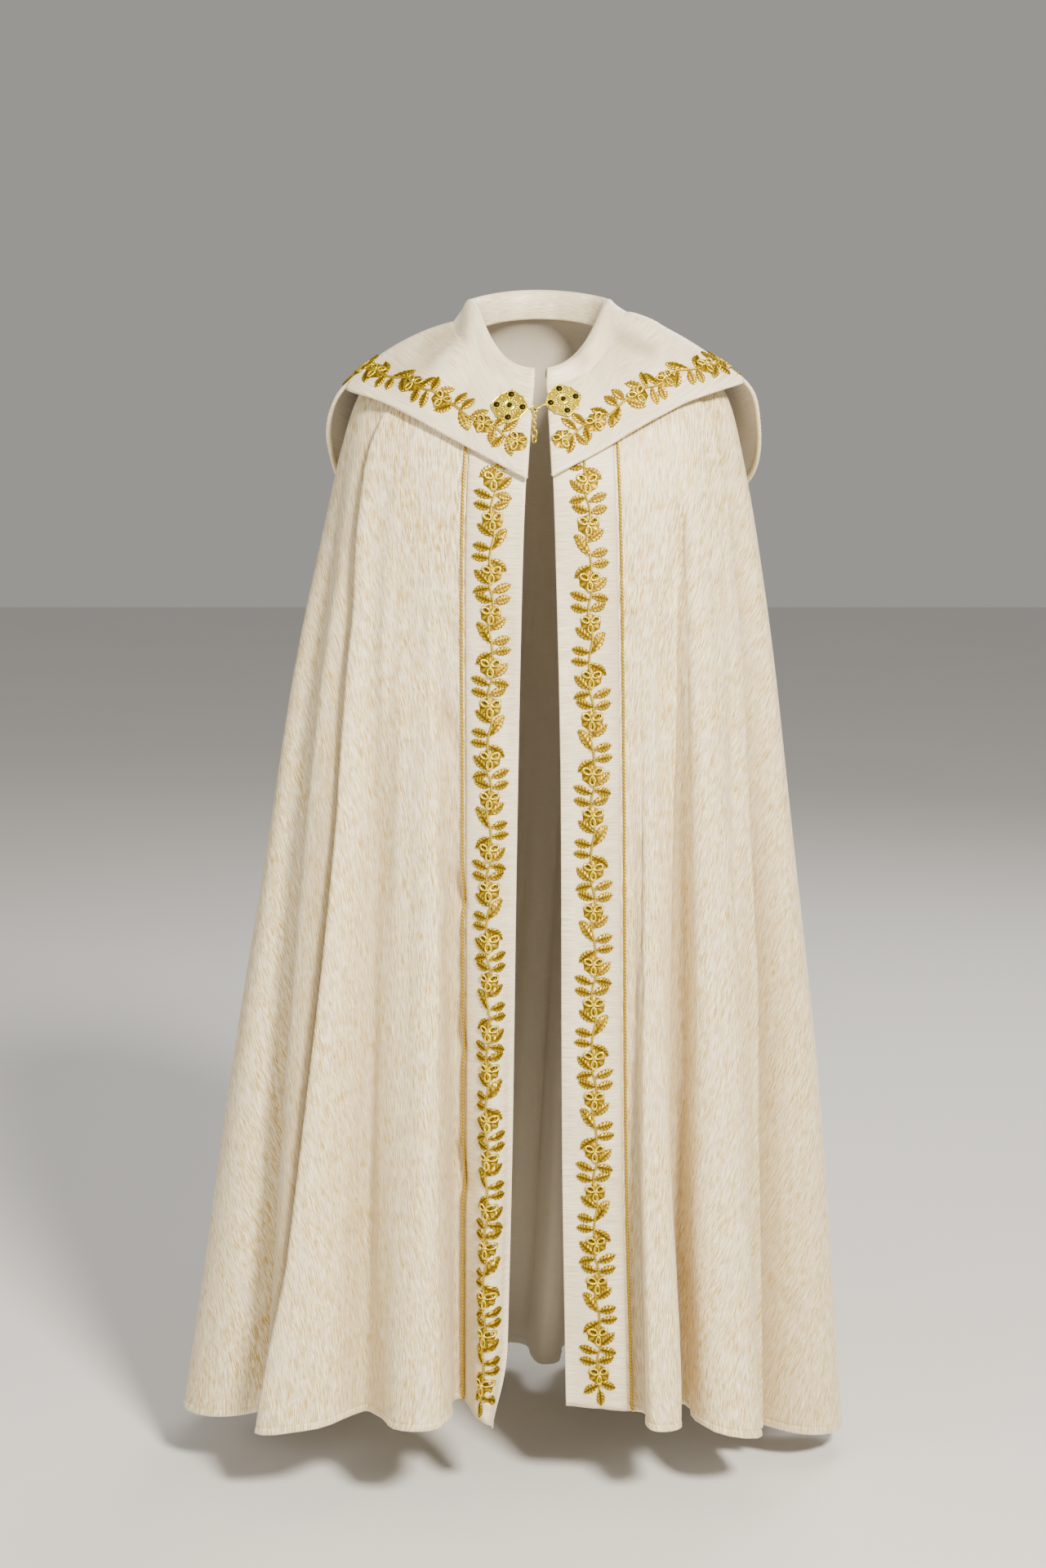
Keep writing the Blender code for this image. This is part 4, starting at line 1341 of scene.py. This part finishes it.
def corner_parts(angle):
    """The boss in one corner, with its ring and beads, and the scrolls and palm in the side after it."""
    x, y, _ = polar(BOSS, angle)
    parts = [torus(0.0042, 0.00065, 22, 6, at=(x, y, PLATE + 0.0008))]
    parts.append(ball(0.0034, 14, 8, size=(1, 1, 0.6), at=(x, y, PLATE + 0.0008)))
    for k in range(CORNER_BEADS):
        b = 2 * math.pi * (k + 0.5) / CORNER_BEADS
        place = Vector((x, y, 0)) + Vector(polar(CORNER_RADIUS, b, PLATE + 0.0007))
        parts.append(ball(0.0007, 6, 4, size=(1.5, 0.9, 1.2), turn=(0, 0, b), at=place))
    middle = angle + math.pi / 4
    parts += [scroll(middle, hand) for hand in (1, -1)]
    place = polar(PALM_RADIUS, middle, PLATE + 0.0002)
    parts.append(ball(0.0011, 8, 5, size=(2.2, 1.0, 0.8), turn=(0, 0, middle), at=place))
    return parts


def medallion_parts():
    """The open metalwork of one medallion, in its own flat frame."""
    angles = np.linspace(0, 2 * math.pi, OUTLINE_STEPS, endpoint=False)
    bpy.ops.mesh.primitive_circle_add(vertices=OUTLINE_STEPS, radius=MEDALLION, fill_type="NGON")
    plate = bpy.context.object
    for vertex, angle in zip(plate.data.vertices, angles):
        vertex.co = polar(lozenge(angle), angle)
    bpy.ops.object.mode_set(mode="EDIT")
    bpy.ops.mesh.select_all(action="SELECT")
    bpy.ops.mesh.normals_make_consistent(inside=False)
    bpy.ops.mesh.extrude_region_move(TRANSFORM_OT_translate={"value": (0, 0, PLATE)})
    bpy.ops.mesh.inset(thickness=RIM_WIDE, depth=0.0)
    bpy.ops.mesh.inset(thickness=BEVEL_WIDE, depth=BEVEL_DEEP)
    bpy.ops.mesh.select_all(action="SELECT")
    bpy.ops.mesh.normals_make_consistent(inside=False)
    bpy.ops.object.mode_set(mode="OBJECT")
    rim = [polar(lozenge(a, RIM_GROW), a, PLATE) for a in angles]
    parts = [plate, wire(rim, RIM_WIRE, 2, closed=True)]
    parts.append(cone(0.0066, 0.0050, 0.0016, 32, at=(0, 0, PLATE + 0.0006)))
    parts.append(torus(0.0054, 0.0009, 32, 8, at=(0, 0, PLATE + 0.0020)))
    parts.append(torus(0.0036, 0.0006, 24, 6, at=(0, 0, PLATE + 0.0022)))
    parts.append(ball(0.0026, 12, 8, size=(1, 1, 0.8), at=(0, 0, PLATE + 0.0021)))
    for k in range(HALO_COUNT):
        a = 2 * math.pi * k / HALO_COUNT
        place = polar(HALO_RADIUS, a, PLATE + 0.0006)
        parts.append(ball(0.001, 8, 5, size=(2.0, 1.15, 0.9), turn=(0, 0, a), at=place))
    for k in range(BEAD_COUNT):
        a = 2 * math.pi * (k + 0.5) / BEAD_COUNT
        parts.append(ball(0.00062, 6, 4, at=polar(BEAD_RADIUS, a, PLATE + 0.0003)))
    for k in range(4):
        parts += corner_parts(math.pi / 2 * k)
    return parts


def metal_piece(name, parts, seat, floor, tall):
    """Joins the parts, notes how far each point stands up from its recess, and seats the piece."""
    bpy.ops.object.select_all(action="DESELECT")
    for part in parts:
        part.select_set(True)
    bpy.context.view_layer.objects.active = parts[0]
    bpy.ops.object.join()
    thing = bpy.context.object
    thing.name = thing.data.name = name
    mesh = thing.data
    for old in list(mesh.uv_layers):
        mesh.uv_layers.remove(old)
    points = np.empty(len(mesh.vertices) * 3)
    mesh.vertices.foreach_get("co", points)
    points = points.reshape(-1, 3)
    relief = np.full(len(points), CHAIN_RELIEF)
    if tall:
        relief = np.clip((points[:, 2] - floor) / tall, 0, 1)
        for x, y in STONES:
            relief = np.where(np.hypot(points[:, 0] - x, points[:, 1] - y) < STONE, 0.0, relief)
    layer = mesh.attributes.new("relief", "FLOAT", "POINT")
    layer.data.foreach_set("value", relief)
    mesh.materials.clear()
    mesh.materials.append(GILT)
    mesh.transform(seat)
    bpy.ops.object.select_all(action="DESELECT")
    thing.select_set(True)
    bpy.ops.object.shade_smooth_by_angle(angle=METAL_ANGLE)
    thing.select_set(False)
    return thing


left_parts = medallion_parts()
left_parts.append(torus(RING_RADIUS, RING_WIRE, 28, 10, at=RING_HOME))
left_parts.append(wire(TANG, TANG_WIRE, 3))
left_parts.append(ball(0.0012, 10, 6, at=(0.0234, 0, PLATE / 2)))
clasp_left = metal_piece("clasp_left", left_parts, LEFT_SEAT, RECESS, RELIEF_TALL)
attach(clasp_left, "cope")
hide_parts("medallion_left")

right_parts = medallion_parts()
right_parts.append(wire(smooth_line(HOOK, 30), HOOK_WIRE, 3))
right_parts.append(ball(0.0014, 10, 6, at=(-0.0235, -0.0005, 0.0021)))
clasp_right = metal_piece("clasp_right", right_parts, RIGHT_SEAT, RECESS, RELIEF_TALL)
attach(clasp_right, "cope")
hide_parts("medallion_right")

# The short chain that hangs from the clasp's ring
Link = namedtuple("Link", "name tall half_wide wire turn")
LINKS = (
    Link("chain_link_1", 0.0070, 0.0022, 0.0007, 0),
    Link("chain_link_2", 0.0060, 0.0022, 0.0007, 90),
    Link("chain_link_3", 0.0060, 0.0022, 0.0007, 0),
    Link("chain_link_4", 0.0060, 0.0022, 0.0007, 90),
    Link("chain_link_5", 0.0060, 0.0022, 0.0007, 0),
    Link("chain_ring_1", 0.0090, 0.0031, 0.0010, 80),
    Link("chain_ring_2", 0.0090, 0.0031, 0.0010, -35),
)
LINK_GAP = 0.0003
LINK_STEPS = 28
ring_place = LEFT_SEAT @ RING_HOME
right_way = LEFT_SEAT.to_3x3() @ Vector((1, 0, 0))
up_way = LEFT_SEAT.to_3x3() @ Vector((0, 1, 0))
pivot = ring_place - RING_RADIUS * up_way
facing = math.atan2(right_way.y, right_way.x)
parts = []
top = pivot.z + RING_WIRE + LINK_GAP
for link in LINKS:
    centre = Vector((pivot.x, pivot.y, top + link.wire - link.tall / 2))
    spin = facing + math.pi / 2 + math.radians(link.turn)
    side = Vector((math.cos(spin), math.sin(spin), 0.0))
    oval_ring = [
        centre + link.half_wide * math.cos(a) * side + Vector((0, 0, link.tall / 2 * math.sin(a)))
        for a in np.linspace(0, 2 * math.pi, LINK_STEPS, endpoint=False)
    ]
    parts.append(wire(oval_ring, link.wire, 3, closed=True))
    top = centre.z - link.tall / 2 + link.wire + LINK_GAP
chain = metal_piece("drop_chain_links", parts, Matrix.Identity(4), 0.0, 0.0)
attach(chain, "drop_chain")
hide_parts(*(link.name for link in LINKS))

# Floor, lights and camera
FLOOR_Z = -1.42
bpy.ops.mesh.primitive_plane_add(size=30.0, location=(0, 0, FLOOR_Z))
floor = bpy.context.object
floor.name = "floor"
floor.data.materials.append(floor_finish())


def light(name, at, aim, size, power, colour):
    lamp = bpy.data.lights.new(name, "AREA")
    lamp.shape, lamp.size, lamp.energy, lamp.color = "DISK", size, power, colour
    thing = bpy.data.objects.new(name, lamp)
    bpy.context.scene.collection.objects.link(thing)
    thing.location = at
    thing.rotation_euler = (Vector(aim) - Vector(at)).to_track_quat("-Z", "Y").to_euler()


light("key", (1.6, -3.4, 2.1), (0, 0, -0.6), 0.9, 540, (1.0, 0.925, 0.785))
light("fill", (-2.7, -2.4, 0.4), (0, 0, -0.7), 2.0, 48, (1.0, 0.95, 0.87))
light("back", (1.4, 3.0, 2.0), (0, 0, -0.5), 2.0, 90, (1.0, 0.97, 0.93))
world = bpy.data.worlds.new("studio")
bpy.context.scene.world = world
world.use_nodes = True
world.node_tree.nodes["Background"].inputs["Color"].default_value = (0.92, 0.89, 0.83, 1.0)
world.node_tree.nodes["Background"].inputs["Strength"].default_value = 0.38

FOCAL_PIXELS, PICTURE_HIGH, SENSOR = 3100, 1920, 36.0
CAMERA_PLACE = (-0.0165, -3.1, -0.12)
CAMERA_TILT = 8.1
camera = bpy.data.cameras.new("camera")
camera.lens, camera.sensor_width = SENSOR * FOCAL_PIXELS / PICTURE_HIGH, SENSOR
eye = bpy.data.objects.new("camera", camera)
bpy.context.scene.collection.objects.link(eye)
eye.location = CAMERA_PLACE
eye.rotation_euler = (math.radians(90 - CAMERA_TILT), 0.0, 0.0)
bpy.context.scene.camera = eye
